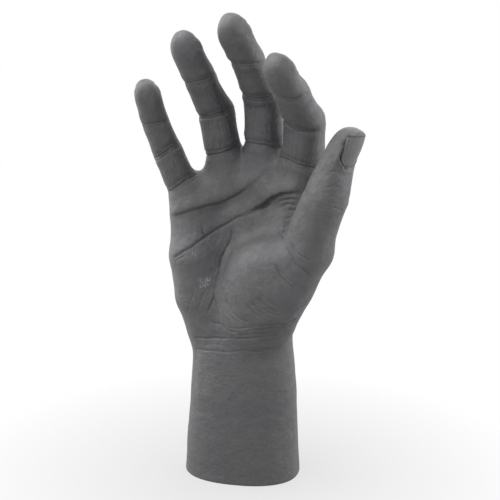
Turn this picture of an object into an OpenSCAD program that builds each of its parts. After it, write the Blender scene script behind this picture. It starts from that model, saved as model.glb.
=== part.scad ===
// Life-size display hand: a right hand cast as a thin shell on its wrist end.
// The palm faces -Y, the thumb is on the +X side, and +Z runs from the wrist end to the fingertips.
// The origin is the middle of the flat wrist end.

/* [Wrist] */
// Width of the wrist end, across the palm
base_w = 68.5; // [62:0.5:84]
// Depth of the wrist end, from palm side to back
base_d = 50; // [44:0.5:64]
// Width of the narrowest part of the wrist
wrist_w = 59; // [54:0.5:76]
// Depth of the narrowest part of the wrist
wrist_d = 41; // [38:0.5:54]
// Height of the narrowest part above the wrist end
wrist_h = 77; // [70:1:120]
// Turn of the wrist end against the palm
base_turn = 8; // [0:1:12]
// Diameter of the forearm bone's head at the back of the wrist
ulna_d = 18.5; // [12:0.5:22]
// Place of that head, from the middle of the wrist
ulna_at = [-19, 11.5, -3]; // [-20:0.5:14]

/* [Palm] */
// Thickness of the palm at its root, just above the wrist
palm_root_t = 38; // [32:0.5:42]
// Thickness of the palm at the knuckles
palm_knuckle_t = 27; // [20:0.5:32]
// Thickness of the palm at the little finger's knuckle
palm_edge_t = 23; // [17:0.5:28]
// Depth of the hollow in the middle of the palm
palm_hollow = 4; // [0:0.5:6]
// Height of the knuckles' heads behind the finger bones
knuckle_rise = 6; // [3:0.5:8]
// Width, depth and length of the muscle along the thumb's first bone
thenar_size = [44, 30, 62]; // [20:0.5:80]
// Shift of that muscle's middle from the thumb's first bone
thenar_shift = [-13, -1, -1]; // [-20:0.5:20]
// Width, depth and length of its root at the wrist
thenar_root_size = [38, 28, 44]; // [16:0.5:60]
// Shift of that root from the thumb's root joint
thenar_root_shift = [-4.5, -2, -1]; // [-20:0.5:20]
// Width, depth and length of the muscle on the little finger's side
hypothenar_size = [40, 30, 36]; // [20:0.5:60]
// Place of that muscle's middle, from the little finger's knuckle
edge_at = [7, -3, -34]; // [-40:0.5:40]
// Place of that muscle's heel, from the middle of the wrist
heel_at = [-21, -5, 20]; // [-40:0.5:40]
// Place of the middle of the palm, from the middle of the wrist
palm_middle = [8, -4, 55]; // [-20:0.5:80]
// Thickness of the palm there
palm_middle_t = 25; // [20:0.5:30]
// Thickness of the skin web between thumb and palm
thumb_web_t = 18; // [10:0.5:20]
// Place of that web's end on the palm, from the index finger's knuckle
web_end = [-6, -3, -24]; // [-40:0.5:40]
// Place of that web's end on the thumb, from the thumb's knuckle
web_start = [-8, 4, -6]; // [-20:0.5:20]
// Place of that web's lower end on the back, from the index finger's knuckle
web_back = [-4, -1, -38]; // [-60:0.5:40]
// Thickness of the skin webs between the fingers
finger_web_t = 17.5; // [8:0.5:18]
// Length of the fingers that each web covers, from the index finger's side
web_reach = [13.5, 13, 9.5]; // [8:0.5:18]

/* [Index finger] */
// Knuckle's place from the middle of the wrist
index_knuckle = [35, 2, 92]; // [-60:0.5:120]
// Lengths of the three bones
index_bones = [42.5, 26, 26.5]; // [18:0.5:60]
// Bend at the three joints
index_bends = [20, 32, 1]; // [-6:1:60]
// Sideways lean of the three bones, positive to the thumb side
index_splays = [12.5, 12, 12]; // [-25:0.5:25]
// Turn of the finger about its own length
index_roll = -14; // [-30:1:30]
// Widths at the root, middle joint, end joint and pad
index_widths = [23.5, 23.5, 19.5, 18]; // [10:0.25:26]
// Depths at the root, middle joint, end joint and pad
index_depths = [21.5, 20, 16, 14.5]; // [9:0.25:24]

/* [Middle finger] */
// Knuckle's place from the middle of the wrist
middle_knuckle = [12, 5, 95]; // [-60:0.5:120]
// Lengths of the three bones
middle_bones = [48, 30, 30]; // [18:0.5:60]
// Bend at the three joints
middle_bends = [13, 31, 1]; // [-6:1:60]
// Sideways lean of the three bones, positive to the thumb side
middle_splays = [5, 4.5, 3]; // [-25:0.5:25]
// Turn of the finger about its own length
middle_roll = -8; // [-30:1:30]
// Widths at the root, middle joint, end joint and pad
middle_widths = [22, 21.5, 18, 18]; // [10:0.25:26]
// Depths at the root, middle joint, end joint and pad
middle_depths = [21, 19, 16, 15]; // [9:0.25:24]

/* [Ring finger] */
// Knuckle's place from the middle of the wrist
ring_knuckle = [-9, 3.5, 92.5]; // [-60:0.5:120]
// Lengths of the three bones
ring_bones = [44, 29, 28.5]; // [18:0.5:60]
// Bend at the three joints
ring_bends = [19, 25, -4]; // [-6:1:60]
// Sideways lean of the three bones, positive to the thumb side
ring_splays = [-2.5, -3.5, -5]; // [-25:0.5:25]
// Turn of the finger about its own length
ring_roll = 0; // [-30:1:30]
// Widths at the root, middle joint, end joint and pad
ring_widths = [20.5, 20.5, 17, 16.5]; // [10:0.25:26]
// Depths at the root, middle joint, end joint and pad
ring_depths = [20, 18, 15, 14]; // [9:0.25:24]

/* [Little finger] */
// Knuckle's place from the middle of the wrist
little_knuckle = [-28.5, -5, 79]; // [-60:0.5:120]
// Lengths of the three bones
little_bones = [37, 21.5, 25.5]; // [14:0.5:60]
// Bend at the three joints
little_bends = [20, 13, 1]; // [-6:1:60]
// Sideways lean of the three bones, positive to the thumb side
little_splays = [-21.5, -18, -9.5]; // [-25:0.5:25]
// Turn of the finger about its own length
little_roll = 18; // [-30:1:30]
// Widths at the root, middle joint, end joint and pad
little_widths = [17, 17, 15, 14.5]; // [9:0.25:26]
// Depths at the root, middle joint, end joint and pad
little_depths = [17.5, 16, 13.5, 12.5]; // [8:0.25:24]

/* [Thumb] */
// Root joint's place from the middle of the wrist
thumb_root = [20.5, -9, 23]; // [-60:0.5:120]
// Lengths of the three bones
thumb_bones = [49, 34, 39]; // [18:0.5:60]
// Lean of the three bones to the thumb side
thumb_lean = [30.5, 22, 26.5]; // [0:0.5:60]
// Lean of the three bones to the palm side
thumb_reach = [10, 16, 4]; // [0:1:60]
// Direction the nail faces, turned from the thumb side towards the palm side
thumb_roll = 24; // [0:1:60]
// Widths at the root, knuckle, end joint and pad
thumb_widths = [25, 26.5, 24, 21.5]; // [14:0.25:40]
// Depths at the root, knuckle, end joint and pad
thumb_depths = [29, 27, 22.5, 17]; // [12:0.25:40]

/* [Shell] */
// Least wall of the cast shell
wall = 4; // [2.5:0.25:6]

/* [Wrist fittings] */
// Gap round the pieces that are bonded or dropped into the shell
fit_gap = 0.25; // [0.1:0.05:0.5]
// Thickness of the plate that closes the wrist end
plate_t = 6; // [5:0.5:8]
// Height of the wooden block above the plate
block_h = 44; // [42:0.5:46]
// Thickness of the steel weight on the block
weight_t = 12; // [8:0.5:14]
// Distance of the screws from the edge of the block
screw_inset = 7; // [6:0.25:8]
// Diameter of the screws' shanks
screw_d = 4; // [3:0.25:5]
// Diameter of the screws' heads
screw_head_d = 8; // [6.5:0.25:9]
// Length of the plate's screws
plate_screw_len = 22; // [14:1:30]
// Length of the weight's screws under the head
weight_screw_len = 28; // [22:1:29]
// Bore of the threaded insert for a stand's rod
insert_bore = 8.5; // [6.8:0.1:10.2]
// Outer diameter of the threaded insert
insert_d = 14; // [12:0.5:16]
// Length of the threaded insert
insert_len = 30; // [20:1:32]
// Diameter of the insert's flange
flange_d = 23; // [19:0.5:24]
// Thickness of the insert's flange
flange_t = 2; // [1.5:0.25:3]

/* [Hidden] */

// Facets of the smooth forms
ring_sides = 24;
ball_sides = 28;
arc_sides = 64;

// Mouth of the shell, heights of what stands in it, and the height of the hand bones' roots
mouth_w = min(base_w, wrist_w) - 2 * wall;
mouth_d = min(base_d, wrist_d) - 2 * wall;
block_top = plate_t + block_h;
weight_top = block_top + weight_t;
wrist_at = [0, 0, wrist_h];
root_h = wrist_h + palm_root_t / 5;

// Each finger as one row: knuckle, bones, bends, splays, roll, widths, depths, thickness of the palm there
FINGERS = [
    [index_knuckle, index_bones, index_bends, index_splays, index_roll,
        index_widths, index_depths, palm_knuckle_t],
    [middle_knuckle, middle_bones, middle_bends, middle_splays, middle_roll,
        middle_widths, middle_depths, palm_knuckle_t],
    [ring_knuckle, ring_bones, ring_bends, ring_splays, ring_roll,
        ring_widths, ring_depths, palm_knuckle_t],
    [little_knuckle, little_bones, little_bends, little_splays, little_roll,
        little_widths, little_depths, palm_edge_t]
];
function knuckle_of(f) = wrist_at + f[0];
function bones_of(f) = f[1];
function bends_of(f) = f[2];
function splays_of(f) = f[3];
function roll_of(f) = f[4];
function widths_of(f) = f[5];
function depths_of(f) = f[6];
function palm_t_of(f) = f[7];

function unit(v) = v / norm(v);
function mix(a, b, t) = a + (b - a) * t;
function sum_to(v, n) = n < 0 ? 0 : v[n] + sum_to(v, n - 1);

// Direction of a finger's bone before it is bent, and the way its palm side faces
function rest_dir(f, k) = [sin(splays_of(f)[k]), 0, cos(splays_of(f)[k])];
function rest_palm(f, k) =
    let (d = rest_dir(f, k), n = [sin(roll_of(f)), -cos(roll_of(f)), 0])
    unit(n - d * (n * d));

// Directions and palm sides of the three bones, bent towards the palm
function dirs_of(f) = [
    for (k = [0 : 2])
        let (a = sum_to(bends_of(f), k))
        rest_dir(f, k) * cos(a) + rest_palm(f, k) * sin(a)
];
function palms_of(f) = [
    for (k = [0 : 2])
        let (a = sum_to(bends_of(f), k))
        rest_palm(f, k) * cos(a) - rest_dir(f, k) * sin(a)
];

// The thumb's bones lean by their own angles, and its nail faces one way
function thumb_dirs() = [
    for (k = [0 : 2])
        [
            sin(thumb_lean[k]) * cos(thumb_reach[k]),
            -sin(thumb_reach[k]),
            cos(thumb_lean[k]) * cos(thumb_reach[k])
        ]
];
function thumb_palms() = [
    for (d = thumb_dirs())
        let (n = [-cos(thumb_roll), sin(thumb_roll), 0])
        unit(n - d * (n * d))
];
function thumb_base() = wrist_at + thumb_root;
function thumb_knuckle() = thumb_base() + thumb_dirs()[0] * thumb_bones[0];

// Joint at the start of bone k of a digit
function joint_at(start, bones, dirs, k) =
    k < 1 ? start : joint_at(start, bones, dirs, k - 1) + dirs[k - 1] * bones[k - 1];

// Places of the rings along each of a digit's three bones, as shares of its length
ring_shares = [
    [0.00, 0.25, 0.50, 0.72, 0.88],
    [0.00, 0.14, 0.34, 0.55, 0.76, 0.90],
    [0.00, 0.12, 0.28, 0.45, 0.60, 0.72, 0.82, 0.90, 0.96, 0.995]
];
// Slimming between two joints, where the fingertip starts to round off, and how bluntly it does
waist = 0.05;
tip_start = 0.52;
pad_power = 2.25;
nail_power = 4;
// Fullness of the pad and of the nail's side, as shares of the half depth
pad_share = 1.12;
finger_nail_share = 0.8;
thumb_nail_share = 0.64;

// Width or depth along a digit's bone k, and the share of it that is left where the tip rounds off
function section(sizes, k, t) =
    k < 2
        ? mix(sizes[k], sizes[k + 1], t) * (1 - waist * sin(180 * t))
        : mix(sizes[2], sizes[3], min(1, t / tip_start));
function tip(k, t, bluntness) =
    k < 2 || t < tip_start
        ? 1
        : pow(1 - pow((t - tip_start) / (1 - tip_start), bluntness), 1 / bluntness);

// One ring of points, a little squarer than an ellipse, with its own half depth on either side
squareness = 2.3;
function power(v) = sign(v) * pow(abs(v), 2 / squareness);
function ring(centre, side, palm, w, front, back) = [
    for (i = [0 : ring_sides - 1])
        let (a = 360 * i / ring_sides)
        centre + side * power(cos(a)) * w / 2 + palm * power(sin(a)) * (sin(a) > 0 ? front : back)
];

// Share that is full from the fingertip's start on, and comes in over the last bone before it
function tip_share(share, k, t) = k < 2 ? 1 : mix(1, share, min(1, t / tip_start));

function digit_rings(start, bones, dirs, palms, widths, depths, nail_share) = [
    for (k = [0 : 2], t = ring_shares[k])
        let (
            before = k > 0 && t == 0 ? k - 1 : k,
            dir = unit(dirs[k] + dirs[before]),
            palm = unit(palms[k] + palms[before]),
            at = joint_at(start, bones, dirs, k) + dirs[k] * bones[k] * t,
            half_d = section(depths, k, t) / 2
        )
        ring(
            at, cross(palm, dir), palm, section(widths, k, t) * tip(k, t, pad_power),
            half_d * tip_share(pad_share, k, t) * tip(k, t, pad_power),
            half_d * tip_share(nail_share, k, t) * tip(k, t, nail_power)
        )
];

// Closed skin over a row of rings
module skin(rings) {
    rows = len(rings);
    sides = len(rings[0]);
    function middle(r) = [for (axis = [0 : 2]) sum_to([for (p = r) p[axis]], sides - 1) / sides];
    points = concat([for (r = rings) each r], [middle(rings[0]), middle(rings[rows - 1])]);
    walls = [
        for (r = [0 : rows - 2], i = [0 : sides - 1])
            let (j = (i + 1) % sides, a = r * sides + i, b = r * sides + j)
            each [[a, a + sides, b], [b, a + sides, b + sides]]
    ];
    low = [for (i = [0 : sides - 1]) [i, (i + 1) % sides, rows * sides]];
    high = [
        for (i = [0 : sides - 1])
            [(rows - 1) * sides + (i + 1) % sides, (rows - 1) * sides + i, rows * sides + 1]
    ];
    polyhedron(points, concat(walls, low, high), convexity = 6);
}

module finger(f) {
    skin(digit_rings(
        knuckle_of(f), bones_of(f), dirs_of(f), palms_of(f), widths_of(f), depths_of(f), finger_nail_share
    ));
}

module thumb() {
    skin(digit_rings(
        thumb_base(), thumb_bones, thumb_dirs(), thumb_palms(), thumb_widths, thumb_depths, thumb_nail_share
    ));
}

module ball(at, d) {
    translate(at)
        sphere(d = d, $fn = ball_sides);
}

// Oval mound, as wide, deep and long as given, that leans to the thumb side
module mound(at, size, lean) {
    translate(at)
        rotate([0, lean, 0])
            scale(size)
                sphere(d = 1, $fn = ball_sides);
}

// Forearm stump that turns as it rises to the wrist and closes in a dome in the palm's root
stump_shares = [0, 0.25, 0.5, 0.75, 1];
stump_curve = 1.05;
dome_shares = [0.3, 0.6, 0.8, 0.95];
module forearm() {
    dome_h = palm_root_t;
    stump = [
        for (h = stump_shares)
            let (t = pow(h, stump_curve), a = base_turn * (1 - t))
            ring(
                h * wrist_at, [cos(a), sin(a), 0], [-sin(a), cos(a), 0],
                mix(base_w, wrist_w, t), mix(base_d, wrist_d, t) / 2, mix(base_d, wrist_d, t) / 2
            )
    ];
    dome = [
        for (h = dome_shares)
            let (size = sqrt(1 - h * h))
            ring(
                wrist_at + [0, 0, h * dome_h], [1, 0, 0], [0, 1, 0],
                wrist_w * size, wrist_d / 2 * size, wrist_d / 2 * size
            )
    ];
    skin(concat(stump, dome));
    ball(wrist_at + ulna_at, ulna_d);
}

// Hand bones from the wrist to the knuckles: their places and the palm's thickness along them
root_shares = [0.16, 0.06, -0.06, -0.18];
knuckle_sink = [0, -1, -4];
bone_steps = [0, 0.3, 0.65, 1];
function bone_at(k, t) =
    mix([root_shares[k] * wrist_w, 0, root_h], knuckle_of(FINGERS[k]) + knuckle_sink, t)
        + [0, palm_hollow / 2 * sin(180 * t), 0];
function bone_d(k, t) = mix(palm_root_t, palm_t_of(FINGERS[k]), t) - palm_hollow * sin(180 * t);

// Palm slab: neighbouring hand bones bridged step by step, each ball drawn in by the inset
module palm_slab(inset, reach) {
    for (k = [0 : 2], s = [0 : 2])
        hull()
            for (j = [k, k + 1], t = [bone_steps[s], bone_steps[s + 1]])
                ball(bone_at(j, t * reach), bone_d(j, t * reach) - 2 * inset);
}

// Wedges of palm and skin from each pair of knuckles up between the two fingers
module finger_webs() {
    for (k = [0 : 2])
        hull()
            for (j = [k, k + 1]) {
                f = FINGERS[j];
                ball(bone_at(j, 1), bone_d(j, 1));
                ball(knuckle_of(f) + dirs_of(f)[0] * web_reach[k], finger_web_t);
            }
}

// Heads of the hand bones, which stand out on the back as the knuckles
head_share = 0.62;
head_start = 0.65;
head_drop = 2;
module knuckle_heads() {
    for (k = [0 : 3])
        hull() {
            ball(knuckle_of(FINGERS[k]) + [0, knuckle_rise, -head_drop], head_share * bone_d(k, 1));
            ball(bone_at(k, head_start), bone_d(k, head_start));
        }
}

// Ball of the thumb: a mound along the thumb's first bone, its root at the wrist and its run to the knuckle
belly_share = 0.38;
root_lean_share = 0.5;
run_share = 0.84;
run_shift = [-2, 0, 0];
module thenar() {
    belly = mix(thumb_base(), thumb_knuckle(), belly_share) + thenar_shift;
    hull() {
        mound(belly, thenar_size, thumb_lean[0]);
        mound(thumb_base() + thenar_root_shift, thenar_root_size, root_lean_share * thumb_lean[0]);
    }
    hull() {
        mound(belly, thenar_size, thumb_lean[0]);
        ball(thumb_knuckle() + run_shift, run_share * thenar_size[1]);
    }
}

// Ball of the little finger's side, from its heel at the wrist to the little finger's knuckle
module hypothenar() {
    edge = knuckle_of(FINGERS[3]) + edge_at;
    for (end = [[wrist_at + heel_at, hypothenar_size[1]], [bone_at(3, 1), palm_edge_t]])
        hull() {
            mound(edge, hypothenar_size, 0);
            ball(end[0], end[1]);
        }
}

// Sheet of muscle and skin from the thumb to the index finger and to the middle of the palm
module thumb_web() {
    index_at = knuckle_of(FINGERS[0]);
    hull() {
        for (at = [thumb_base(), thumb_knuckle() + web_start, index_at + web_end, index_at + web_back])
            ball(at, thumb_web_t);
        ball(wrist_at + palm_middle, palm_middle_t);
    }
}

module hand_form() {
    forearm();
    palm_slab(0, 1);
    knuckle_heads();
    finger_webs();
    thenar();
    hypothenar();
    thumb_web();
    for (f = FINGERS)
        finger(f);
    thumb();
}

// Flat outline with round ends, as wide as the shell's mouth
module mouth_outline(inset) {
    w = mouth_w - 2 * inset;
    d = mouth_d - 2 * inset;
    for (side = [-1, 1])
        translate([side * (w - d) / 2, 0])
            circle(d = d, $fn = arc_sides);
    square([w - d, d], center = true);
}

module mouth_slab(inset, from, to) {
    translate([0, 0, from])
        linear_extrude(to - from)
            mouth_outline(inset);
}

// Space inside the shell above the given height: the wrist's mouth and the hollow of the palm
core_reach = 0.8;
module hollow(inset, from) {
    mouth_slab(inset, from, root_h);
    palm_slab(wall + inset, core_reach);
}

// Places of the screws: the plate's along X, the weight's along Y
plate_screw_places = [for (side = [-1, 1]) [side * (mouth_w / 2 - screw_inset), 0, 0]];
weight_screw_places = [for (side = [-1, 1]) [0, side * (mouth_d / 2 - screw_inset), weight_top]];
head_t = (screw_head_d - screw_d) / 2;

// Countersunk screw that points up, with its head's face at z = 0
module plate_screw(gap) {
    cylinder(h = head_t, d1 = screw_head_d + 2 * gap, d2 = screw_d + 2 * gap, $fn = arc_sides);
    cylinder(h = plate_screw_len + gap, d = screw_d + 2 * gap, $fn = arc_sides);
}

// Shank of a screw that points down from z = 0
module weight_shank(gap) {
    translate([0, 0, -weight_screw_len - gap])
        cylinder(h = weight_screw_len + gap, d = screw_d + 2 * gap, $fn = arc_sides);
}

module hand_shell() {
    color([0.36, 0.36, 0.37])
        difference() {
            hand_form();
            hollow(0, -1);
        }
}

module foam_core() {
    color([0.86, 0.80, 0.62])
        difference() {
            hollow(fit_gap, weight_top);
            for (p = weight_screw_places)
                translate(p)
                    cylinder(h = head_t + fit_gap, d = screw_head_d + 2 * fit_gap, $fn = arc_sides);
        }
}

module wrist_block() {
    color([0.72, 0.58, 0.40])
        difference() {
            mouth_slab(fit_gap, plate_t, block_top);
            translate([0, 0, -1])
                cylinder(h = insert_len + 1 + fit_gap, d = insert_d + 2 * fit_gap, $fn = arc_sides);
            for (p = plate_screw_places)
                translate(p)
                    plate_screw(fit_gap / 2);
            for (p = weight_screw_places)
                translate(p)
                    weight_shank(fit_gap / 2);
        }
}

module steel_weight() {
    color([0.42, 0.43, 0.45])
        difference() {
            mouth_slab(fit_gap, block_top, weight_top);
            for (p = weight_screw_places)
                translate(p + [0, 0, 1])
                    weight_shank(fit_gap);
        }
}

module weight_screws() {
    color([0.70, 0.70, 0.72])
        for (p = weight_screw_places)
            translate(p) {
                weight_shank(0);
                cylinder(h = head_t, d = screw_head_d, $fn = arc_sides);
            }
}

module stand_insert() {
    color([0.78, 0.66, 0.36])
        difference() {
            union() {
                cylinder(h = insert_len, d = insert_d, $fn = arc_sides);
                cylinder(h = flange_t, d = flange_d, $fn = arc_sides);
            }
            translate([0, 0, -1])
                cylinder(h = insert_len + 2, d = insert_bore, $fn = arc_sides);
        }
}

module base_plate() {
    color([0.10, 0.10, 0.11])
        difference() {
            mouth_slab(fit_gap, 0, plate_t);
            translate([0, 0, -1])
                cylinder(h = plate_t + 2, d = insert_d + 2 * fit_gap, $fn = arc_sides);
            translate([0, 0, -1])
                cylinder(h = flange_t + 1, d = flange_d + 2 * fit_gap, $fn = arc_sides);
            for (p = plate_screw_places)
                translate(p)
                    plate_screw(fit_gap / 2);
        }
}

module plate_screws() {
    color([0.70, 0.70, 0.72])
        for (p = plate_screw_places)
            translate(p)
                plate_screw(0);
}

hand_shell();
foam_core();
wrist_block();
steel_weight();
weight_screws();
stand_insert();
base_plate();
plate_screws();
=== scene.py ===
"""Looks of the display hand: cast skin with creases and nails, fittings in the wrist, stage and camera.

The hand's surface is grown as one smooth field from bones and sections close to those of the part's source.
Creases, folds and nails are then worked into it, and it is hollowed.
Lengths are in millimetres until the finished mesh is scaled; Blender's own lengths are metres.
"""

import math
from typing import NamedTuple

import bmesh
import bpy
import numpy as np
import openvdb
from bpy.props import FloatProperty, FloatVectorProperty, PointerProperty
from mathutils import Matrix, Vector
from mathutils.bvhtree import BVHTree


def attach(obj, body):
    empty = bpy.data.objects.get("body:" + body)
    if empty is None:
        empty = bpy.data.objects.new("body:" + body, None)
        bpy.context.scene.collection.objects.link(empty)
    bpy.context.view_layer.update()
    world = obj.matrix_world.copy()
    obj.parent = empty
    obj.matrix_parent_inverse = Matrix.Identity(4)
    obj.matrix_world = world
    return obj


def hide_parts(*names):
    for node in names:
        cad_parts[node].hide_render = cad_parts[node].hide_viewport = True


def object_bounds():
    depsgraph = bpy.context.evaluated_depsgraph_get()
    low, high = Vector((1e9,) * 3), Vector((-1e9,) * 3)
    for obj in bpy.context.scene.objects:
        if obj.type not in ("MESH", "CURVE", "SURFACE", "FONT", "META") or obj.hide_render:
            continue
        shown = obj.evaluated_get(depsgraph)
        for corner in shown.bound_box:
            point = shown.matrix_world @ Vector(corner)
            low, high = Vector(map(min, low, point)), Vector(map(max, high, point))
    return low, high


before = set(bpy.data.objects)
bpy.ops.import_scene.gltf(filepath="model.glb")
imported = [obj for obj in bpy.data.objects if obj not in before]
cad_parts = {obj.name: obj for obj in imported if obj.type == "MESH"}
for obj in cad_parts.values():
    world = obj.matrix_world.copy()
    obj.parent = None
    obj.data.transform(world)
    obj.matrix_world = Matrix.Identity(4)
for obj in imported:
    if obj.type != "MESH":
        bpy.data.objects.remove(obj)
CAD_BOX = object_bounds()

bl_info = {
    "name": "Display hand",
    "version": (1, 0, 0),
    "blender": (4, 5, 0),
    "location": "View3D > Sidebar > Display hand",
    "description": "Builds the cast skin, fittings, stage and camera of a life-size display hand",
    "category": "Object",
}

MM = 0.001

# Bones and sections of the digits, close to those of the part's source
WRIST_H = 77.0
WRIST_AT = np.array([0.0, 0.0, WRIST_H])
FINGERS = {
    "index": {
        "knuckle": (35, 2, 92), "bones": (42.5, 26, 26.5),
        "bends": (20, 32, 1), "splays": (12.5, 12, 12), "roll": -14,
        "widths": (23.5, 23.5, 19.5, 18), "depths": (21.5, 20, 16, 14.5),
    },
    "middle": {
        "knuckle": (12, 5, 95), "bones": (48, 30, 30),
        "bends": (13, 31, 1), "splays": (5, 4.5, 0.8), "roll": -8,
        "widths": (22, 21.5, 18, 18), "depths": (21, 19, 16, 15),
    },
    "ring": {
        "knuckle": (-9, 3.5, 92.5), "bones": (44, 29, 28.5),
        "bends": (19, 25, -4), "splays": (-2.5, -4, -6.5), "roll": 0,
        "widths": (20.5, 21, 17.7, 17), "depths": (20, 18, 15, 14),
    },
    "little": {
        "knuckle": (-28.5, -5, 79), "bones": (37, 21.5, 25.5),
        "bends": (20, 13, 1), "splays": (-21.5, -18, -9.5), "roll": 18,
        "widths": (17.8, 17.8, 15.4, 14.6), "depths": (17.5, 16, 13.5, 12.5),
    },
}
THUMB = {
    "root": (20.5, -9, 23), "bones": (49, 34, 39),
    "lean": (30.5, 22, 26.5), "reach": (10, 16, 4), "roll": (24, 24, 12.5),
    "widths": (25, 26.5, 24, 21.5), "depths": (29, 27, 22.5, 17),
}
# Height of the back at each of a digit's stations, as a share of the half depth there
FINGER_BACK = (1, 1, 0.94, 1.06, 0.94, 0.93, 1.03, 0.90, 0.80, 0.72)
THUMB_BACK = (1.02, 1.10, 1.04, 1.15, 0.96, 1.01, 1.10, 1.02, 0.54, 0.50)


def unit(v):
    """Vector, or rows of vectors, at length one."""
    v = np.asarray(v, float)
    return v / np.linalg.norm(v, axis=-1, keepdims=True)


def smooth_step(low, high, x):
    """Rises from 0 at low to 1 at high without a corner."""
    t = np.clip((x - low) / (high - low), 0, 1)
    return t * t * (3 - 2 * t)


def bell(x, width):
    """Bump of height 1 at x = 0 that fades over the width."""
    return np.exp(-((x / width) ** 2))


def softened(values, reach):
    """Running average of evenly spaced values, for profiles without corners."""
    window = np.hanning(2 * reach + 3)[1:-1]
    padded = np.concatenate([np.repeat(values[0], reach), values, np.repeat(values[-1], reach)])
    return np.convolve(padded, window / window.sum(), mode="valid")


def between(s, places, rows):
    """Vectors at the places s, between rows of vectors at known places."""
    return np.stack([np.interp(s, places, rows[:, k]) for k in range(3)], -1)


class Digit:
    """Finger or thumb as a bent centre line with an oval section along it."""

    # Step along the centre line, rounding at the joints, steps of softening, and the tip's share of its bone
    STEP = 1.0
    ROUNDING = 7.0
    SOFT_STEPS = 4
    CAP_SHARE = 0.48
    # Points worked on at a time, and powers of the oval on the palm side and on the nail side
    BLOCK = 20000
    POWER = 2.25
    NAIL_POWER = 4.0
    # Stations: bone, share of its length, place among the sizes, shares of half width and palm-side depth
    STATIONS = np.array([
        (0, 0.00, 0.0, 1.00, 1.00),
        (0, 0.45, 0.0, 1.00, 1.00),
        (0, 0.78, 0.5, 0.97, 1.03),
        (1, 0.00, 1.0, 1.00, 0.96),
        (1, 0.30, 1.4, 0.95, 1.03),
        (1, 0.65, 1.7, 0.95, 1.04),
        (2, 0.00, 2.0, 1.00, 0.98),
        (2, 0.30, 3.0, 0.99, 1.10),
        (2, 0.55, 3.0, 1.00, 1.14),
        (2, 1.00, 3.0, 0.97, 1.00),
    ])

    def __init__(self, start, row, dirs, palms, back, pad, blunt):
        self.blunt = blunt
        self.bones = np.array(row["bones"], float)
        joints = [np.array(start, float)]
        for d, length in zip(dirs, self.bones):
            joints.append(joints[-1] + np.asarray(d) * length)
        self.joints = np.array(joints)
        self.ends = np.concatenate([[0], np.cumsum(self.bones)])
        self.trace(palms)
        self.profile(row["widths"], row["depths"], back, pad)

    def trace(self, palms):
        """Centre line and its side and palm directions, evenly sampled and rounded at the joints."""
        s = np.arange(0, self.ends[-1] + self.STEP / 2, self.STEP)
        raw = between(s, self.ends, self.joints)
        reach = int(self.ROUNDING / self.STEP)
        line = np.stack([softened(raw[:, k], reach) for k in range(3)], 1)
        line[0], line[-1] = raw[0], raw[-1]
        middles = (self.ends[:-1] + self.ends[1:]) / 2
        palm = between(s, middles, np.array(palms))
        tangent = unit(np.gradient(line, axis=0))
        palm = unit(palm - tangent * (palm * tangent).sum(1, keepdims=True))
        self.s = s
        self.line = line
        self.tangent = tangent
        self.palm = palm
        self.side = np.cross(palm, tangent)

    def profile(self, widths, depths, back, pad):
        """Half width, palm-side half depth and back half depth along the centre line."""
        bone, share, size, wide, front = self.STATIONS.T
        bone = bone.astype(int)
        at = self.ends[bone] + share * self.bones[bone]
        half_w = np.interp(size, range(len(widths)), widths) / 2
        half_d = np.interp(size, range(len(depths)), depths) / 2
        fullness = np.ones(len(at))
        fullness[-3:-1] = pad, (1 + pad) / 2
        self.half_w = self.drawn_out(at, half_w * wide)
        self.half_front = self.drawn_out(at, half_d * front * fullness)
        self.half_back = self.drawn_out(at, half_d * np.array(back))
        self.cap = self.CAP_SHARE * self.bones[-1]
        self.cap_at = self.ends[-1] - self.cap

    def drawn_out(self, at, values):
        """Values at the stations, drawn out along the centre line without corners."""
        return softened(np.interp(self.s, at, values), self.SOFT_STEPS)

    def at(self, s):
        """Point of the centre line."""
        return between(s, self.s, self.line)

    def at_cap(self, rows):
        """One of the line's own lists of vectors, at the place where the round tip starts."""
        return between(self.cap_at, self.s, rows)

    def local(self, points):
        """Place along the digit, then offsets to the side, to the palm side and beyond its ends."""
        size = (self.line ** 2).sum(1)
        blocks = [points[k:k + self.BLOCK] for k in range(0, len(points), self.BLOCK)]
        near = np.concatenate([np.argmin(size - 2 * part @ self.line.T, axis=1) for part in blocks])
        s = self.s[near] + ((points - self.line[near]) * self.tangent[near]).sum(1)
        s = np.clip(s, 0, self.cap_at)
        away = points - self.at(s)
        offsets = [(away * between(s, self.s, rows)).sum(1) for rows in (self.side, self.palm, self.tangent)]
        return s, *offsets

    def skin_depth(self, s, b):
        """Half depth of the section, on the palm side where b is positive and on the back elsewhere."""
        return np.where(b > 0, np.interp(s, self.s, self.half_front), np.interp(s, self.s, self.half_back))

    def field(self, points):
        """Signed distance to the digit's skin, near enough for blending."""
        s, a, b, u = self.local(points)
        w = np.interp(s, self.s, self.half_w)
        d = self.skin_depth(s, b)
        end = np.where(u > 0, self.cap, w)
        u = np.where((s >= self.cap_at) | (s <= 0), u, 0)
        power = np.where(b > 0, self.POWER, self.NAIL_POWER)
        across, deep, past = np.abs(a / w), np.abs(b / d), np.abs(u / end)
        beyond = past ** self.blunt
        length = np.maximum(deep ** power + beyond ** power, 1e-9)
        g = np.maximum(across ** self.POWER + length ** (self.POWER / power), 1e-9) ** (1 / self.POWER)
        outer = length ** (self.POWER / power - 1)
        slope_a = across ** (self.POWER - 1) / w
        slope_b = outer * deep ** (power - 1) / d
        slope_u = outer * beyond ** (power - 1) * self.blunt * past ** (self.blunt - 1) / end
        slope = g ** (1 - self.POWER) * np.sqrt(slope_a ** 2 + slope_b ** 2 + slope_u ** 2)
        return (g - 1) / np.maximum(slope, 1e-3)

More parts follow.
